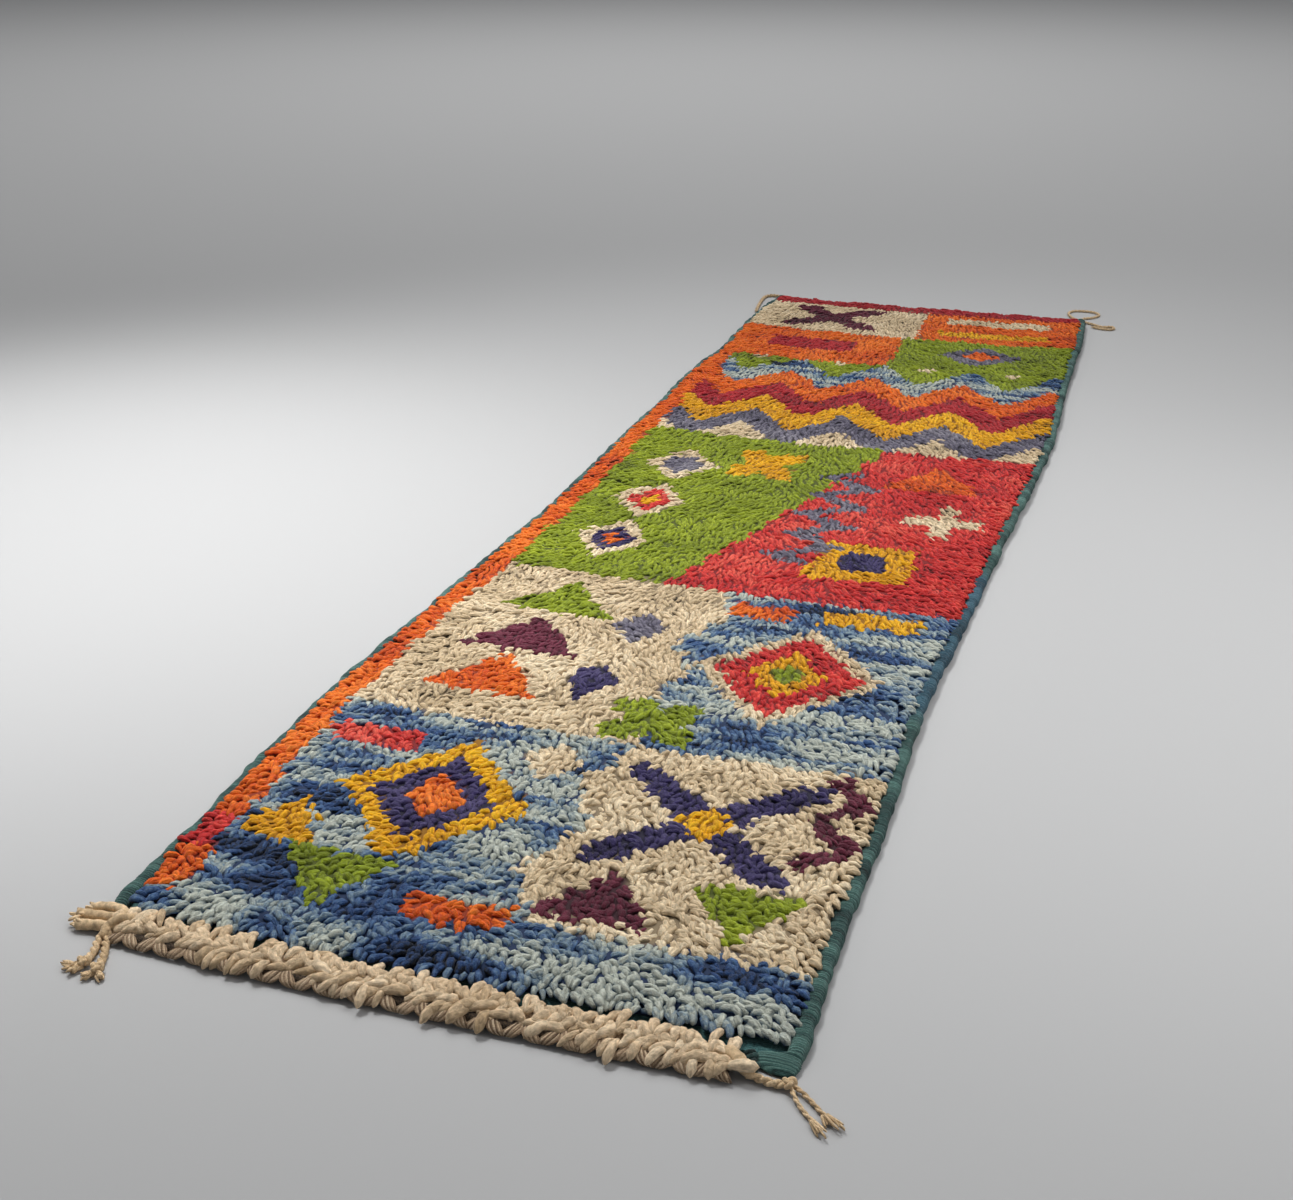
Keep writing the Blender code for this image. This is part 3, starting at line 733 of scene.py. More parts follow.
def plantPile():
    # one piece for each yarn, in a finer and a plainer part
    knots = knotGrid()
    x, y, share, along = knots
    yarns = yarnNames((share - 0.5) * fieldPlan["wide"], along, share)
    away = np.clip(along / stripesFrom, 0, 1)
    streak = drift(x, y, *drifts["streak"])
    stripe = drift(x, y, *drifts["stripe"]) * away
    patch = drift(x, y, *drifts["patch"])
    single = rng.uniform(-0.5, 0.5, len(x))
    fine = along < pileTufts["fineUpTo"]
    parts = (("near", fine, fineTuft, 6), ("far", ~fine, plainTuft, 5))
    for yarn, tones in yarnTones.items():
        material = woolMaterial(yarn + "Yarn", tones, fibre=850, bump=0.75, twist=7.0)
        mix = patchDyed.get(yarn, evenYarn)
        shade = mix.base + streak * (mix.streak - mix.calmer * away) + stripe * mix.stripe
        shade = shade + patch * mix.patch + single * mix.single
        for part, here, rings, sides in parts:
            chosen = (yarns == yarn) & here
            if not chosen.any():
                continue
            paths, radii, sideways = plantTufts(*(values[chosen] for values in knots), rings)
            tone = np.clip(shade, *pileTufts["tones"])[chosen]
            look = {key: pileTufts[key] for key in ("flat", "lumpy", "arch", "paintedSideShade")}
            block = tubes(paths, radii, sides, tone, sideways,
                          ringShade=[ring.shade for ring in rings], **look)
            name = "tufts_" + yarn + "_" + part
            meshPiece(name, "pile", block, material)
            print("tufts", yarn, part, int(chosen.sum()))
    print("pile planted", len(x))


plantPile()


# The knots' feet under the tufts, so that no floor shows between them, painted dark as the shade
# between the tufts.

knotBed = {
    "rise": 0.0132,
    "low": 0.0004,
    "across": 70,
    "along": 200,
    # painted shade: how much darker than its yarn's darkest tone a knot's foot is painted, as shade
    # between the tufts
    "darker": 0.42,
    "inset": 0.018,  # how far in from its rim the bed has its full height
    "back": 0.006,  # how far it starts behind the first knots, and runs on past the last
    "past": 0.004,
}


def bedPiece():
    plan = knotBed
    nearY = nearMiddle + pileTufts["nearRoom"]
    farY = farEnd - pileTufts["bareFar"] + plan["past"]
    points, knots = [], []
    for down in np.linspace(0.0, 1.0, plan["along"] + 1):
        for share in np.linspace(0.0, 1.0, plan["across"] + 1):
            y = nearY + (farY - nearY) * down
            x = acrossAt(y, share)
            start = nearEdge(x) + bareNear(share) + plan["back"]
            long = farY - start
            y = start + long * down
            x += cornerShift(share, y - start)
            fromSide = min(share, 1 - share) * fieldPlan["wide"]
            fromRim = min(fromSide, down * long, (1 - down) * long)
            rise = plan["low"] + plan["rise"] * min(1.0, fromRim / plan["inset"])
            points.append((x, y, liftAt(x, y) + rise))
            knots.append((share, y - start))
    share, along = np.array(knots).T
    yarns = yarnNames((share - 0.5) * fieldPlan["wide"], along, share)
    part = {"points": np.array(points), "quads": gridQuads(plan["along"] + 1, plan["across"] + 1)}
    material, shader = newMaterial("knotFeetPaintedShade", woolLook["roughness"])
    dyed = material.node_tree.nodes.new("ShaderNodeAttribute")
    dyed.attribute_name = "knotColourPaintedShade"
    material.node_tree.links.new(dyed.outputs["Color"], shader.inputs["Base Color"])
    piece = meshPiece("knot_feet", "pile", part, material)
    layer = piece.data.color_attributes.new("knotColourPaintedShade", "FLOAT_COLOR", "POINT")
    # each foot's colour: its yarn's darkest tone, darkened as painted shade
    darkest = {name: linear(tones[0]) for name, tones in yarnTones.items()}
    values = np.array([darkest[name] for name in yarns])
    values[:, :3] *= plan["darker"]
    layer.data.foreach_set("color", values.astype(np.float32).ravel())


bedPiece()


# The flat weave.

weaveLook = {
    "ribPitch": 0.0030,
    "ribHigh": 0.0011,
    "ribbedNear": 0.042,  # how far in from the near end the ribs are modelled
    "ribWaver": 0.3,
    "waverPitch": 260,
    "slantFades": 0.5,  # how far up the rug the near end's slant dies out
    "plainStep": 0.06,
    "across": 60,
    "tones": (0.45, 0.85),
}


def groundCloth():
    # the woven sheet: ribs of weft where it is bare, plain where the pile hides it
    plan = weaveLook
    length = farEnd - nearMiddle
    ribs = np.arange(0, plan["ribbedNear"], plan["ribPitch"] / 3)
    plain = np.arange(plan["ribbedNear"], length, plan["plainStep"])
    alongs = np.concatenate([ribs, plain, [length]])
    shares = np.linspace(0, 1, plan["across"] + 1)
    top, bottom = [], []
    for number, along in enumerate(alongs):
        rib = plan["ribHigh"] * (number % 3 == 1) if along < plan["ribbedNear"] else 0.0
        for share in shares:
            y = nearMiddle + along
            x = acrossAt(y, share)
            y += (nearEdge(x) - nearMiddle) * max(0.0, 1 - along / plan["slantFades"])
            height = liftAt(x, y)
            waver = plan["ribWaver"] * math.sin(share * plan["waverPitch"] + number)
            top.append((x, y, height + rib * (1 - plan["ribWaver"] + waver)))
            bottom.append((x, y, max(height - clothThick, 0.0)))
    row, rows = len(shares), len(alongs)
    upper = gridQuads(rows, row)
    size = row * rows
    index = np.arange(size).reshape(rows, row)
    rim = np.concatenate([index[0], index[1:, -1], index[-1, -2::-1], index[-2:0:-1, 0]])
    after = np.roll(rim, -1)
    wall = np.stack([rim + size, after + size, after, rim], axis=1)
    part = {
        "points": np.array(top + bottom),
        "quads": np.concatenate([upper, upper[:, ::-1] + size, wall]),
        "shade": np.tile(rng.uniform(*plan["tones"], size), 2),
    }
    material = woolMaterial("tealWeave", clothTones["weave"], fibre=900, fluff=420)
    return meshPiece("ground_cloth", "ground_weave", part, material)


cloth = groundCloth()
print("weave laid")


# The wrapped side cords.

wrapLook = {
    "step": 0.0017,
    "stepsPerWrap": 2,
    "sides": 12,
    "square": 0.85,  # 1 is round, and less is fuller at the corners
    "fuller": 1.05,
    "ribHigh": 0.28,
    "ribShape": (-0.5, 0.4),  # the hollow and the crown of a wrap
    "uneven": 0.03,
    "bulge": 0.30,
    "bulgesPerMetre": 50,
    "wobble": 0.0012,
    "wobblesPerMetre": 20,
    "slant": 0.0030,  # the wraps lean a little
    "endShare": 0.55,  # how thick the ends are, and over how many steps they thicken
    "endSteps": 6,
    "tone": 0.48,
    "toneUneven": 0.26,
    # painted shade in the hollows between wraps and painted highlight on their crowns
    "ribPaintedShade": 3.2,
    "streak": 0.7,
    "streaksPerMetre": 34,
    "blueStretch": (-0.80, -0.22),  # where the right cord is of a bluer dye
    "blueFade": 0.05,
    "inEnds": 0.001,
    "offFloor": 0.0002,
}
wrapMaterial = woolMaterial(
    "tealWrap", clothTones["teal"], fibre=1100, fluff=500, twist=4.0,
    other=clothTones["blueTeal"])


def wrappedCord(name, node, line, seed, blue):
    # a cord of overcast wool along its line; blue is 1 where part of it is of the bluer dye
    plan = wrapLook
    first, last = line["y"].min() + plan["inEnds"], line["y"].max() - plan["inEnds"]
    ys = np.arange(first, last, plan["step"])
    middle = np.interp(ys, line["y"], (line["left"] + line["right"]) / 2)
    wide = np.interp(ys, line["y"], line["right"] - line["left"])
    low = np.interp(ys, line["y"], line["low"])
    high = np.interp(ys, line["y"], line["top"]) - low
    count = len(ys)
    bulge = drift(ys, 0, plan["bulgesPerMetre"], 0, seed) * plan["bulge"]
    wobble = drift(ys, 0, plan["wobblesPerMetre"], 0, seed + 4) * plan["wobble"]
    wrapNumber = np.arange(count) // plan["stepsPerWrap"]

    def eachWrap(most):
        return rng.uniform(-most, most, wrapNumber.max() + 1)[wrapNumber]

    wrapSize, wrapTone = eachWrap(plan["uneven"]), eachWrap(plan["toneUneven"])
    rib = np.array(plan["ribShape"])[np.arange(count) % plan["stepsPerWrap"]] * plan["ribHigh"]
    swell = plan["fuller"] + bulge + rib + wrapSize
    ends = np.minimum(np.arange(count), np.arange(count)[::-1]) / plan["endSteps"]
    swell = swell * np.clip(plan["endShare"] + (1 - plan["endShare"]) * ends, 0, 1)

    sides = plan["sides"]
    angle = np.arange(sides) * 2 * np.pi / sides
    flat = np.sign(np.cos(angle)) * np.abs(np.cos(angle)) ** plan["square"]
    tall = np.sign(np.sin(angle)) * np.abs(np.sin(angle)) ** plan["square"]
    points = np.zeros((count, sides, 3))
    half = wide / 2 + (swell - 1) * np.median(wide) / 2
    points[:, :, 0] = (middle + wobble)[:, None] + half[:, None] * flat
    points[:, :, 1] = ys[:, None] + plan["slant"] * tall
    raised = (low + high / 2)[:, None] + (high * swell / 2)[:, None] * tall
    points[:, :, 2] = np.maximum(raised, low[:, None] + plan["offFloor"])

    quads = ringQuads(count, sides, sides)[0][:, [1, 0, 3, 2]]
    size = count * sides
    turn = np.arange(sides)
    after = (turn + 1) % sides
    near = np.stack([turn, after, np.full(sides, size)], axis=1)
    far = np.stack([size - sides + after, size - sides + turn, np.full(sides, size + 1)], axis=1)
    poles = np.array([points[0].mean(axis=0), points[-1].mean(axis=0)])
    streaks = drift(ys, 0, plan["streaksPerMetre"], 0, seed + 1) * plan["streak"]
    # each ring's tone: its wrap's own tone and streaks, with painted shade in the hollows and
    # painted highlight on the crowns
    tone = np.clip(plan["tone"] + wrapTone + streaks + rib * plan["ribPaintedShade"], 0.0, 1)
    first, last = plan["blueStretch"]
    fadeIn = np.clip((ys - first) / plan["blueFade"], 0, 1)
    fadeOut = np.clip((last - ys) / plan["blueFade"], 0, 1)
    along, around = quads // sides, quads % sides
    around = np.where((around == 0) & (quads[:, :1] % sides == 0), sides, around)
    part = {
        "points": np.concatenate([points.reshape(-1, 3), poles]),
        "quads": quads,
        "caps": np.concatenate([near, far]),
        "shade": np.concatenate([np.repeat(tone, sides), [0.5, 0.5]]),
        "dye": np.concatenate([np.repeat(fadeIn * fadeOut * blue, sides), [0, 0]]),
        "quadUV": np.stack([along / plan["stepsPerWrap"], around / 4], axis=-1),
        "capUV": np.full((sides * 2, 3, 2), 0.5),
    }
    return meshPiece(name, node, part, wrapMaterial)


# short ends of teal yarn that close the near right corner beside the braid
cornerLook = {
    "places": [(0.350, -1.508), (0.352, -1.514), (0.354, -1.520), (0.352, -1.511), (0.357, -1.524)],
    "long": (0.011, 0.016),
    "turn": 200,
    "turnMore": 16,
    "heights": (0.0100, 0.0095, 0.0045),
    "radii": (0.0034, 0.0038, 0.0038, 0.0036, 0.0032, 0.0024),
    "tones": (0.1, 0.5),
    "lumpy": 0.1,
}


def cornerLocks():
    plan = cornerLook
    paths = []
    for number, (x, y) in enumerate(plan["places"]):
        turn = math.radians(plan["turn"] + plan["turnMore"] * number)
        ahead = np.array([math.cos(turn), math.sin(turn)]) * rng.uniform(*plan["long"])
        route = [(x + ahead[0] * share, y + ahead[1] * share, height)
                 for share, height in zip((0.0, 0.5, 1.0), plan["heights"])]
        paths.append(smoothPath(route, len(plan["radii"])))
    radii = np.tile(plan["radii"], (len(paths), 1))
    tones = rng.uniform(*plan["tones"], len(paths))
    part = tubes(paths, radii, 8, tones, closedRoot=True, lumpy=plan["lumpy"])
    return meshPiece("corner_locks", "selvedge_right", part, wrapMaterial)


leftWrap = wrappedCord("left_cord", "selvedge_left", leftCord, seed=2.5, blue=0)
rightWrap = wrappedCord("right_cord", "selvedge_right", rightCord, seed=9.5, blue=1)
locks = cornerLocks()
print("side cords wrapped")


# The near braid.

braidLook = {
    "pitch": 0.0195,  # one sheaf of warp threads with its puffs of roving
    "inLeft": 0.008,  # how far in from the node's ends it starts and stops
    "inRight": 0.018,
    "rings": 10,
    "finger": (0.55, 0.48, 0.62),  # a puff's thickness at its root, what it gains, and where
    "blunt": 1.14,  # 1 is a fine point
    "flat": 0.88,
    "lumpy": 0.12,
    "uneven": 0.26,
    "wander": 0.0030,
    "spin": 20.0,
    "curl": 0.005,
    "swell": 0.0026,
    "lift": 0.0016,
    "skipped": 0.10,
    "lowWaves": 0.31,  # some stretches have no puffs that hang over the rim
    "tones": (0.45, 0.75),
    "toneUneven": 0.16,
    "threadThick": 0.0014,
    "threadUneven": 0.15,
    "threads": 7,
    "threadRings": 8,
    "threadApart": 0.0025,
    "threadTones": (0.36, 0.78),  # a dark thread and a light one in turn
    "threadToneUneven": 0.15,
    "lean": 0.0060,
    "cores": [(0.022, 0.0085), (0.037, 0.0062)],  # how far out and how thick
    # the first core takes a warp tone; the second is painted near black, as the shade in the gaps
    # between the sheaves
    "coreTonesPaintedShade": (0.35, 0.05),
    "coreSteps": 60,
    "corePast": 0.002,
    "coreUp": 0.0006,
}
# The puffs of one unit fan out from its middle: where each starts, its length and half
# thickness, which way it goes (0 runs along the braid, 90 points at the rug), and how far
# its end droops.
Puff = namedtuple("Puff", "across out up long thick turn droop")
puffs = [
    Puff(0.010, 0.0300, 0.0130, 0.024, 0.0050, 252.0, 0.0070),
    Puff(0.003, 0.0300, 0.0135, 0.026, 0.0054, 222.0, 0.0070),
    Puff(-0.006, 0.0370, 0.0120, 0.028, 0.0062, 48.0, -0.0030),
    Puff(0.004, 0.0350, 0.0125, 0.029, 0.0060, 24.0, -0.0020),
    Puff(0.004, 0.0300, 0.0155, 0.027, 0.0058, 146.0, 0.0020),
    Puff(-0.004, 0.0250, 0.0165, 0.028, 0.0054, 130.0, 0.0050),
    Puff(0.006, 0.0250, 0.0170, 0.029, 0.0054, 72.0, 0.0055),
    Puff(0.002, 0.0240, 0.0178, 0.030, 0.0052, 102.0, 0.0060),
]
# The way of a warp thread out from under the puffs: its shares of the sheaf's lean and of
# the thread's place in the sheaf, how far out and up it is, and how much outer ones sink.
ThreadStep = namedtuple("ThreadStep", "lean place out up sink")
threadWay = [
    ThreadStep(-1.0, 0.6, 0.0340, 0.0125, 0.0),
    ThreadStep(-0.4, 1.0, 0.0430, 0.0122, 0.30),
    ThreadStep(0.4, 1.0, 0.0486, 0.0075, 0.0),
    ThreadStep(1.0, 0.6, 0.0470, 0.0024, 0.0),
]
rovingMaterial = woolMaterial(
    "creamRoving", clothTones["roving"], fibre=900, fluff=150, twist=8.0)
warpMaterial = woolMaterial("warpThread", clothTones["warp"], fibre=1500, fluff=600)


def nearBraid():
    # puffs of roving laid over one another, lapping over the weave, and sheaves of warp
    # threads that come out under them
    plan = braidLook
    box = nodePoints("end_braid")
    left, right = box[:, 0].min() + plan["inLeft"], box[:, 0].max() - plan["inRight"]
    count = round((right - left) / plan["pitch"])
    puffPaths, puffRadii, puffShade = [], [], []
    threads, threadRadii, threadShade = [], [], []
    leafy = drift(np.arange(count + 1), 0, plan["lowWaves"], 0, 6.4)
    places = np.linspace(0, 1, plan["rings"])
    rootThick, gain, fullest = plan["finger"]
    finger = rootThick + gain * np.sin(np.clip(places / fullest, 0, 1) * math.pi / 2)
    finger = finger * np.sqrt(np.clip(plan["blunt"] - places ** 8, 0, 1))

    def either(most, *size):
        return rng.uniform(-most, most, *size)

    def about(value, share):
        return value * rng.uniform(1 - share, 1 + share)

    for number in range(count + 1):
        x = left + (right - left) * number / count
        end = nearEdge(x)
        tone = rng.uniform(*plan["tones"])
        for puff in puffs:
            low = puff.turn > 180 and leafy[number] < 0
            if low or rng.random() < plan["skipped"]:
                continue
            long, thick = about(puff.long, plan["uneven"]), about(puff.thick, plan["uneven"] * 0.8)
            turn = math.radians(puff.turn + either(1) * plan["spin"])
            way = np.array([math.cos(turn), math.sin(turn)])
            side = np.array([-way[1], way[0]])
            root = np.array([x + puff.across, end - puff.out])
            root = root + either(1, 2) * plan["wander"]
            curl = either(plan["curl"]) * places ** 2
            flat = root + places[:, None] * long * way + curl[:, None] * side
            swell = plan["swell"] * np.sin(places * math.pi)
            up = puff.up + either(plan["lift"]) + swell - puff.droop * places ** 2
            up = np.maximum(up, thick * finger * 0.9)  # none sinks into the floor
            puffPaths.append(np.column_stack([flat, up]))
            puffRadii.append(thick * finger)
            puffShade.append(tone + either(plan["toneUneven"]))
        lean = plan["lean"] * (1 if number % 2 else -1)  # the sheaves lean in turn, as plaited
        for thread in range(plan["threads"]):
            place = (thread - (plan["threads"] - 1) / 2) * plan["threadApart"]
            bundle = [(x + lean * step.lean + place * step.place, end - step.out,
                       step.up - abs(place) * step.sink) for step in threadWay]
            threads.append(smoothPath(bundle, plan["threadRings"]))
            thick = about(plan["threadThick"], plan["threadUneven"])
            threadRadii.append(thick * np.ones(plan["threadRings"]))
            threadShade.append(plan["threadTones"][thread % 2] + either(plan["threadToneUneven"]))
    puffed = tubes(puffPaths, puffRadii, 8, puffShade, closedRoot=True, lumpy=plan["lumpy"],
                   flat=plan["flat"])
    roving = meshPiece("braid_roving", "end_braid", puffed, rovingMaterial)
    striped = tubes(threads, threadRadii, 6, threadShade, closedRoot=True)
    xs = np.linspace(left - plan["corePast"], right + plan["corePast"], plan["coreSteps"])
    cores = [np.stack([xs, nearEdge(xs) - out, np.full(len(xs), thick + plan["coreUp"])], axis=1)
             for out, thick in plan["cores"]]
    coreRadii = np.repeat([[thick] for out, thick in plan["cores"]], len(xs), axis=1)
    # cores of warp, the second painted dark as the shade between the sheaves
    inner = tubes(cores, coreRadii, 10, plan["coreTonesPaintedShade"], closedRoot=True)
    sheaves = joined([striped, inner])
    warp = meshPiece("braid_warp", "end_braid", sheaves, warpMaterial)
    return [roving, warp]


braidPieces = nearBraid()
print("braid made")


# The far band.

bandLook = {
    "tones": (0.4, 0.6, 0.5, 0.3),  # one for each weft
    "thick": 0.0017,
    "steps": 160,
    "wander": 0.0006,
    "wandersPerMetre": 30,
    "lift": (0.0012, 0.0018),  # the wefts lie lower and higher in turn
    "inEnds": 0.002,
}


def farBand():
    plan = bandLook
    box = nodePoints("end_band")
    left, right = box[:, 0].min() + plan["inEnds"], box[:, 0].max() - plan["inEnds"]
    xs = np.linspace(left, right, plan["steps"])
    depth = box[:, 1].max() - box[:, 1].min()
    rows = []
    wefts = len(plan["tones"])
    for number in range(wefts):
        y = box[:, 1].min() + depth * (number + 0.5) / wefts
        wander = drift(xs, number, plan["wandersPerMetre"], 1, 2.2) * plan["wander"]
        z = plan["thick"] + plan["lift"][number % 2] + np.abs(wander)
        rows.append(np.stack([xs, y + wander, z], axis=1))
    radii = np.full((wefts, plan["steps"]), plan["thick"])
    part = tubes(rows, radii, 8, plan["tones"], closedRoot=True)
    material = woolMaterial("brickWeft", clothTones["weft"])
    return meshPiece("far_band", "end_band", part, material)


band = farBand()


# The corner ties.

tieLook = {
    "plies": 2,
    "plyPitch": 0.020,
    "plyOut": 0.21,  # in shares of the cord's thickness, as the next two are
    "plyThick": 0.31,
    "knotThick": 0.32,
    "knotSize": 0.0056,
    "forkHeights": (0.0040, 0.0036, 0.0040),
    "plyTones": (0.35, 0.75),
    "knotTone": 0.55,
    "frayTones": (0.3, 0.8),
    "rovingTones": (0.4, 0.7),
}
frayLook = {
    "fibres": 9,
    "rings": 5,
    "thick": 0.15,  # a fibre's share of the strand, and how far the fibres stray
    "stray": 0.22,
    "long": (0.6, 1.1),
    "lift": (-0.3, 0.2),
    "back": 0.004,  # how far into the strand the fibres start
    "offFloor": 0.0012,
}
rovingLook = {"root": 0.85, "lumps": 0.08, "lumpTurn": 1.7, "closed": 0.6}
plyMaterial = woolMaterial(
    "cordPly", clothTones["cordPly"], fibre=1600, fluff=500, bump=0.35, twist=5.0)


def plies(points, thick, steps=46):
    # a twisted cord: plies that wind round a path
    path = smoothPath(points, steps)
    way = unit(np.gradient(path, axis=0))
    across = unit(np.cross(way, np.array([0.0, 0.0, 1.0])))
    upward = np.cross(across, way)
    length = np.concatenate([[0], np.cumsum(np.linalg.norm(np.diff(path, axis=0), axis=1))])
    number = tieLook["plies"]
    strands = []
    for ply in range(number):
        turn = 2 * math.pi * (length / tieLook["plyPitch"] + ply / number)
        offset = across * np.cos(turn)[:, None] + upward * np.sin(turn)[:, None]
        strands.append(path + offset * thick * tieLook["plyOut"])
    radii = np.full((number, steps), thick * tieLook["plyThick"])
    return tubes(strands, radii, 8, rng.uniform(*tieLook["plyTones"], number), closedRoot=True)


def forkEnd(places, thick):
    # one of the free ends below a knot
    return plies([(x, y, z) for (x, y), z in zip(places, tieLook["forkHeights"])], thick, steps=16)


def tieKnot(place, thick):
    # an overhand knot: one strand through its own loop
    size = tieLook["knotSize"]
    turn = np.linspace(0, 2 * math.pi, 40)
    path = np.stack([
        np.sin(turn) + 2 * np.sin(2 * turn),
        np.cos(turn) - 2 * np.cos(2 * turn),
        -1.1 * np.sin(3 * turn),
    ], axis=1) * size / 3
    path += np.array(place) + np.array([0, 0, size])
    radii = np.full((1, len(turn)), thick * tieLook["knotThick"])
    return tubes(path[None], radii, 8, [tieLook["knotTone"]], closedRoot=True)


def frayedEnd(place, way, thick, long):
    # a brush of loose fibres where a strand was cut
    plan = frayLook
    way = np.array(way, float) / np.linalg.norm(way)
    start = np.array(place, float)
    strands = []
    for _ in range(plan["fibres"]):
        off = rng.normal(0, thick * plan["stray"], 3)
        off[2] = abs(off[2]) * 0.6
        spread = rng.normal(0, long * plan["stray"], 3)
        spread[2] = rng.uniform(*plan["lift"]) * thick
        tip = start + way * long * rng.uniform(*plan["long"]) + off + spread
        tip[2] = max(tip[2], plan["offFloor"])
        root = start + off * 0.6 - way * plan["back"]
        strands.append(smoothPath([root, (start + off + tip) / 2, tip], plan["rings"]))
    taper = np.linspace(1, 0.5, plan["rings"]) * thick * plan["thick"]
    radii = np.tile(taper, (plan["fibres"], 1))
    tones = rng.uniform(*tieLook["frayTones"], plan["fibres"])
    return tubes(strands, radii, 5, tones, closedRoot=True)


def roving(points, thick, steps=16, blunt=0.9):
    # a thick soft end of roving
    path = smoothPath(points, steps)
    radii = thick / 2 * np.linspace(rovingLook["root"], blunt, steps)
    radii *= 1 + rovingLook["lumps"] * np.sin(np.arange(steps) * rovingLook["lumpTurn"])
    radii[0] *= rovingLook["closed"]
    tone = rng.uniform(*tieLook["rovingTones"])
    return tubes(path[None], radii[None], 10, [tone], closedRoot=True)


def farPoints(places, first, rest):
    # points by their places from the far end, at one height and then at another
    heights = [first] + [rest] * (len(places) - 1)
    return [(x, farRim + y, z) for (x, y), z in zip(places, heights)]


def tiePiece(name, node, parts):
    return meshPiece(name, node, joined(parts), plyMaterial)


def nearLeftTie():
    ends = [
        roving([(-0.350, -1.518, 0.017), (-0.372, -1.509, 0.0180), (-0.392, -1.506, 0.0150),
                (-0.410, -1.507, 0.0100)], 0.0130),
        roving([(-0.350, -1.524, 0.013), (-0.376, -1.519, 0.0120), (-0.400, -1.518, 0.0090),
                (-0.420, -1.518, 0.0074)], 0.0150),
        roving([(-0.350, -1.532, 0.011), (-0.372, -1.531, 0.0098), (-0.392, -1.532, 0.0080),
                (-0.410, -1.536, 0.0070)], 0.0140),
        roving([(-0.345, -1.522, 0.019), (-0.358, -1.525, 0.0190), (-0.370, -1.533, 0.0120),
                (-0.370, -1.545, 0.0070)], 0.0140),
        frayedEnd((-0.408, -1.507, 0.0100), (-1, 0, -0.2), 0.016, 0.005),
        frayedEnd((-0.418, -1.518, 0.0074), (-1, 0, 0), 0.018, 0.005),
        frayedEnd((-0.408, -1.535, 0.0070), (-1, -0.2, 0), 0.017, 0.005),
        # the first cord, its knot and two ends, then the second
        plies([(-0.373, -1.536, 0.0080), (-0.372, -1.552, 0.0050), (-0.366, -1.568, 0.0042),
               (-0.362, -1.586, 0.0042)], 0.0095),
        tieKnot((-0.363, -1.590, 0.0015), 0.0095),
        forkEnd([(-0.364, -1.592), (-0.372, -1.596), (-0.378, -1.598)], 0.0095),
        forkEnd([(-0.364, -1.594), (-0.366, -1.600), (-0.367, -1.605)], 0.0095),
        plies([(-0.368, -1.534, 0.0080), (-0.362, -1.552, 0.0048), (-0.352, -1.570, 0.0042),
               (-0.343, -1.592, 0.0042)], 0.0095),
        tieKnot((-0.343, -1.595, 0.0015), 0.0095),
        forkEnd([(-0.343, -1.598), (-0.346, -1.604), (-0.348, -1.610)], 0.0085),
        forkEnd([(-0.343, -1.597), (-0.337, -1.601), (-0.331, -1.604)], 0.0085),
    ]
    for x, y, way in ((-0.378, -1.598, (-1, -0.2, 0)), (-0.367, -1.604, (-0.1, -1, 0)),
                      (-0.348, -1.607, (-0.4, -1, 0)), (-0.334, -1.603, (1, -0.4, 0))):
        ends.append(frayedEnd((x, y, 0.0040), way, 0.011, 0.004))
    return tiePiece("near_left_tie", "tassel_near_left", ends)


def nearRightTie():
    ends = [
        roving([(0.316, -1.522, 0.008), (0.331, -1.524, 0.0150), (0.344, -1.532, 0.0125),
                (0.354, -1.538, 0.0075)], 0.0230, blunt=0.5),
        plies([(0.345, -1.534, 0.0070), (0.358, -1.537, 0.0055), (0.376, -1.540, 0.0050),
               (0.389, -1.538, 0.0055)], 0.0090),
        tieKnot((0.392, -1.537, 0.0018), 0.0085),
        plies([(0.394, -1.537, 0.0050), (0.404, -1.541, 0.0042), (0.417, -1.551, 0.0032),
               (0.429, -1.562, 0.0030), (0.440, -1.571, 0.0030)], 0.0050),
        plies([(0.393, -1.538, 0.0050), (0.400, -1.550, 0.0042), (0.410, -1.563, 0.0032),
               (0.421, -1.574, 0.0030), (0.430, -1.581, 0.0030)], 0.0050),
        frayedEnd((0.438, -1.570, 0.0034), (1, -0.9, 0), 0.012, 0.014),
        frayedEnd((0.428, -1.580, 0.0034), (1, -0.9, 0), 0.012, 0.014),
    ]
    return tiePiece("near_right_tie", "tassel_near_right", ends)


def farLeftTie():
    cord = [(-0.405, 0.010), (-0.423, 0.024), (-0.444, 0.024), (-0.455, 0.006), (-0.454, -0.030),
            (-0.447, -0.090), (-0.437, -0.150)]
    ends = [
        roving([(-0.404, farRim - 0.004, 0.006), (-0.404, farRim + 0.006, 0.0065),
                (-0.405, farRim + 0.013, 0.0055)], 0.0110, steps=8),
        plies(farPoints(cord, 0.0045, 0.0042), 0.0085, steps=120),
        frayedEnd((-0.438, farRim - 0.146, 0.0040), (0.15, -1, 0), 0.009, 0.010),
    ]
    return tiePiece("far_left_tie", "tassel_far_left", ends)


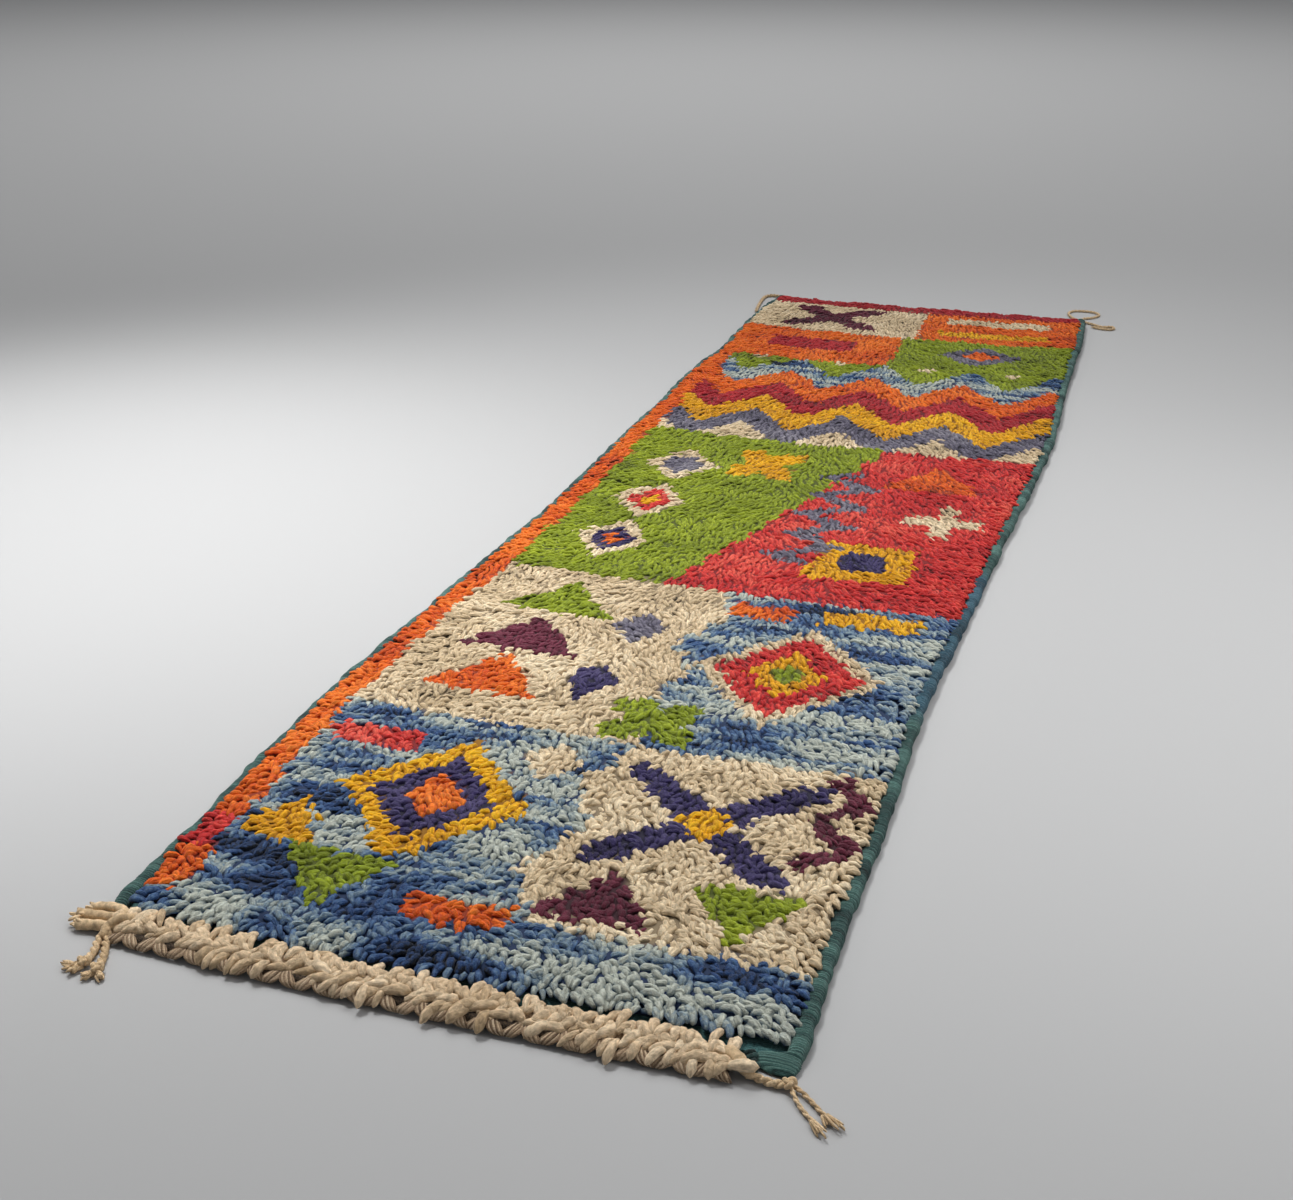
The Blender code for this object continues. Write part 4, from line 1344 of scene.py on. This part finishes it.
def farRightTie():
    wideLoop = [(0.375, 0.010), (0.352, 0.040), (0.336, 0.085), (0.348, 0.118), (0.390, 0.122),
                (0.412, 0.096), (0.400, 0.062), (0.379, 0.045)]
    smallLoop = [(0.381, 0.006), (0.402, -0.006), (0.428, -0.026), (0.450, -0.020),
                 (0.460, -0.032), (0.450, -0.048), (0.428, -0.046), (0.410, -0.038)]
    ends = [
        roving([(0.376, farRim - 0.004, 0.006), (0.376, farRim + 0.008, 0.0065),
                (0.378, farRim + 0.016, 0.0050)], 0.0120, steps=8),
        plies(farPoints(wideLoop, 0.0040, 0.0032), 0.0066, steps=150),
        plies(farPoints(smallLoop, 0.0040, 0.0032), 0.0066, steps=110),
        frayedEnd((0.381, farRim + 0.046, 0.0030), (-1, -0.6, 0), 0.007, 0.008),
        frayedEnd((0.412, farRim - 0.039, 0.0030), (-1, 0.3, 0), 0.007, 0.008),
    ]
    return tiePiece("far_right_tie", "tassel_far_right", ends)


ties = [nearLeftTie(), nearRightTie(), farLeftTie(), farRightTie()]
print("ties knotted")


# Floor, light and camera.

studio = {
    "floorSize": 160.0,
    "floorTone": (167, 167, 167),
    "floorRoughness": 0.8,
    "skyTone": (214, 216, 220),
    "skyPower": 0.25,
}
# soft round pools of light over the rug, and on the floor to its left and to its right
Pool = namedtuple("Pool", "name place target cone soft power")
pools = [
    Pool("keyLight", (-1.5, 0.05, 3.6), (0.1, -0.40, 0.0), 79.0, 0.35, 405.0),
    Pool("poolLight", (-1.75, -0.45, 3.4), (-1.40, -0.60, 0.0), 52.0, 0.40, 400.0),
    Pool("rightPool", (1.9, -0.5, 3.0), (0.85, -0.40, 0.0), 50.0, 0.40, 145.0),
]
# wide lamps: where each is, what it points at, how wide and how strong it is
Lamp = namedtuple("Lamp", "name place target size power")
lamps = [
    Lamp("sideLight", (2.3, -0.5, 2.6), (1.0, -0.2, 0.0), 1.4, 22.0),
    Lamp("frontLight", (3.0, -15.0, 7.5), (3.0, -14.6, 0.0), 8.0, 90.0),
    Lamp("leftLight", (-14.0, -1.0, 7.5), (-13.6, -1.0, 0.0), 8.0, 340.0),
    Lamp("rightLight", (14.0, -1.0, 7.5), (13.6, -1.0, 0.0), 8.0, 340.0),
    Lamp("backLight", (-2.0, 6.6, 7.5), (-2.0, 6.2, 0.0), 7.0, 570.0),
]
cameraPlan = {
    "place": (0.671, -2.778, 1.068),
    "turn": 18.81,
    "down": 23.82,
    "focalPixels": 1666.0,
    "frameWide": 1293,
    "sensor": 36.0,
}


def floorPiece():
    half = studio["floorSize"] / 2
    mesh = bpy.data.meshes.new("floor")
    corners = [(-half, -half, 0), (half, -half, 0), (half, half, 0), (-half, half, 0)]
    mesh.from_pydata(corners, [], [(0, 1, 2, 3)])
    material, shader = newMaterial("paleFloor", studio["floorRoughness"])
    shader.inputs["Base Color"].default_value = linear(studio["floorTone"])
    mesh.materials.append(material)
    item = placed("floor", mesh)
    return item


def hang(plan, light):
    # hangs a lamp and turns it to what it lights
    light.energy = plan.power
    item = placed(plan.name, light)
    item.location = plan.place
    aim = Vector(plan.target) - Vector(plan.place)
    item.rotation_euler = aim.to_track_quat("-Z", "Y").to_euler()
    item.visible_camera = False


def poolLamp(plan):
    light = bpy.data.lights.new(plan.name, "SPOT")
    light.spot_size = math.radians(plan.cone)
    light.spot_blend = 1.0
    light.shadow_soft_size = plan.soft
    hang(plan, light)


def wideLamp(plan):
    light = bpy.data.lights.new(plan.name, "AREA")
    light.shape = "DISK"
    light.size = plan.size
    hang(plan, light)


floor = floorPiece()
for pool in pools:
    poolLamp(pool)
for lamp in lamps:
    wideLamp(lamp)
bpy.context.scene.view_settings.view_transform = "Standard"  # daylight tones as they are
world = bpy.data.worlds.new("studio")
world.use_nodes = True
sky = world.node_tree.nodes["Background"].inputs
sky["Color"].default_value = linear(studio["skyTone"])
sky["Strength"].default_value = studio["skyPower"]
bpy.context.scene.world = world

camera = placed("camera", bpy.data.cameras.new("camera"))
camera.location = cameraPlan["place"]
tilt = math.radians(90 - cameraPlan["down"])
camera.rotation_euler = (tilt, 0, math.radians(cameraPlan["turn"]))
camera.data.sensor_width = cameraPlan["sensor"]
camera.data.lens = cameraPlan["focalPixels"] / cameraPlan["frameWide"] * cameraPlan["sensor"]
bpy.context.scene.camera = camera

print("scene set")
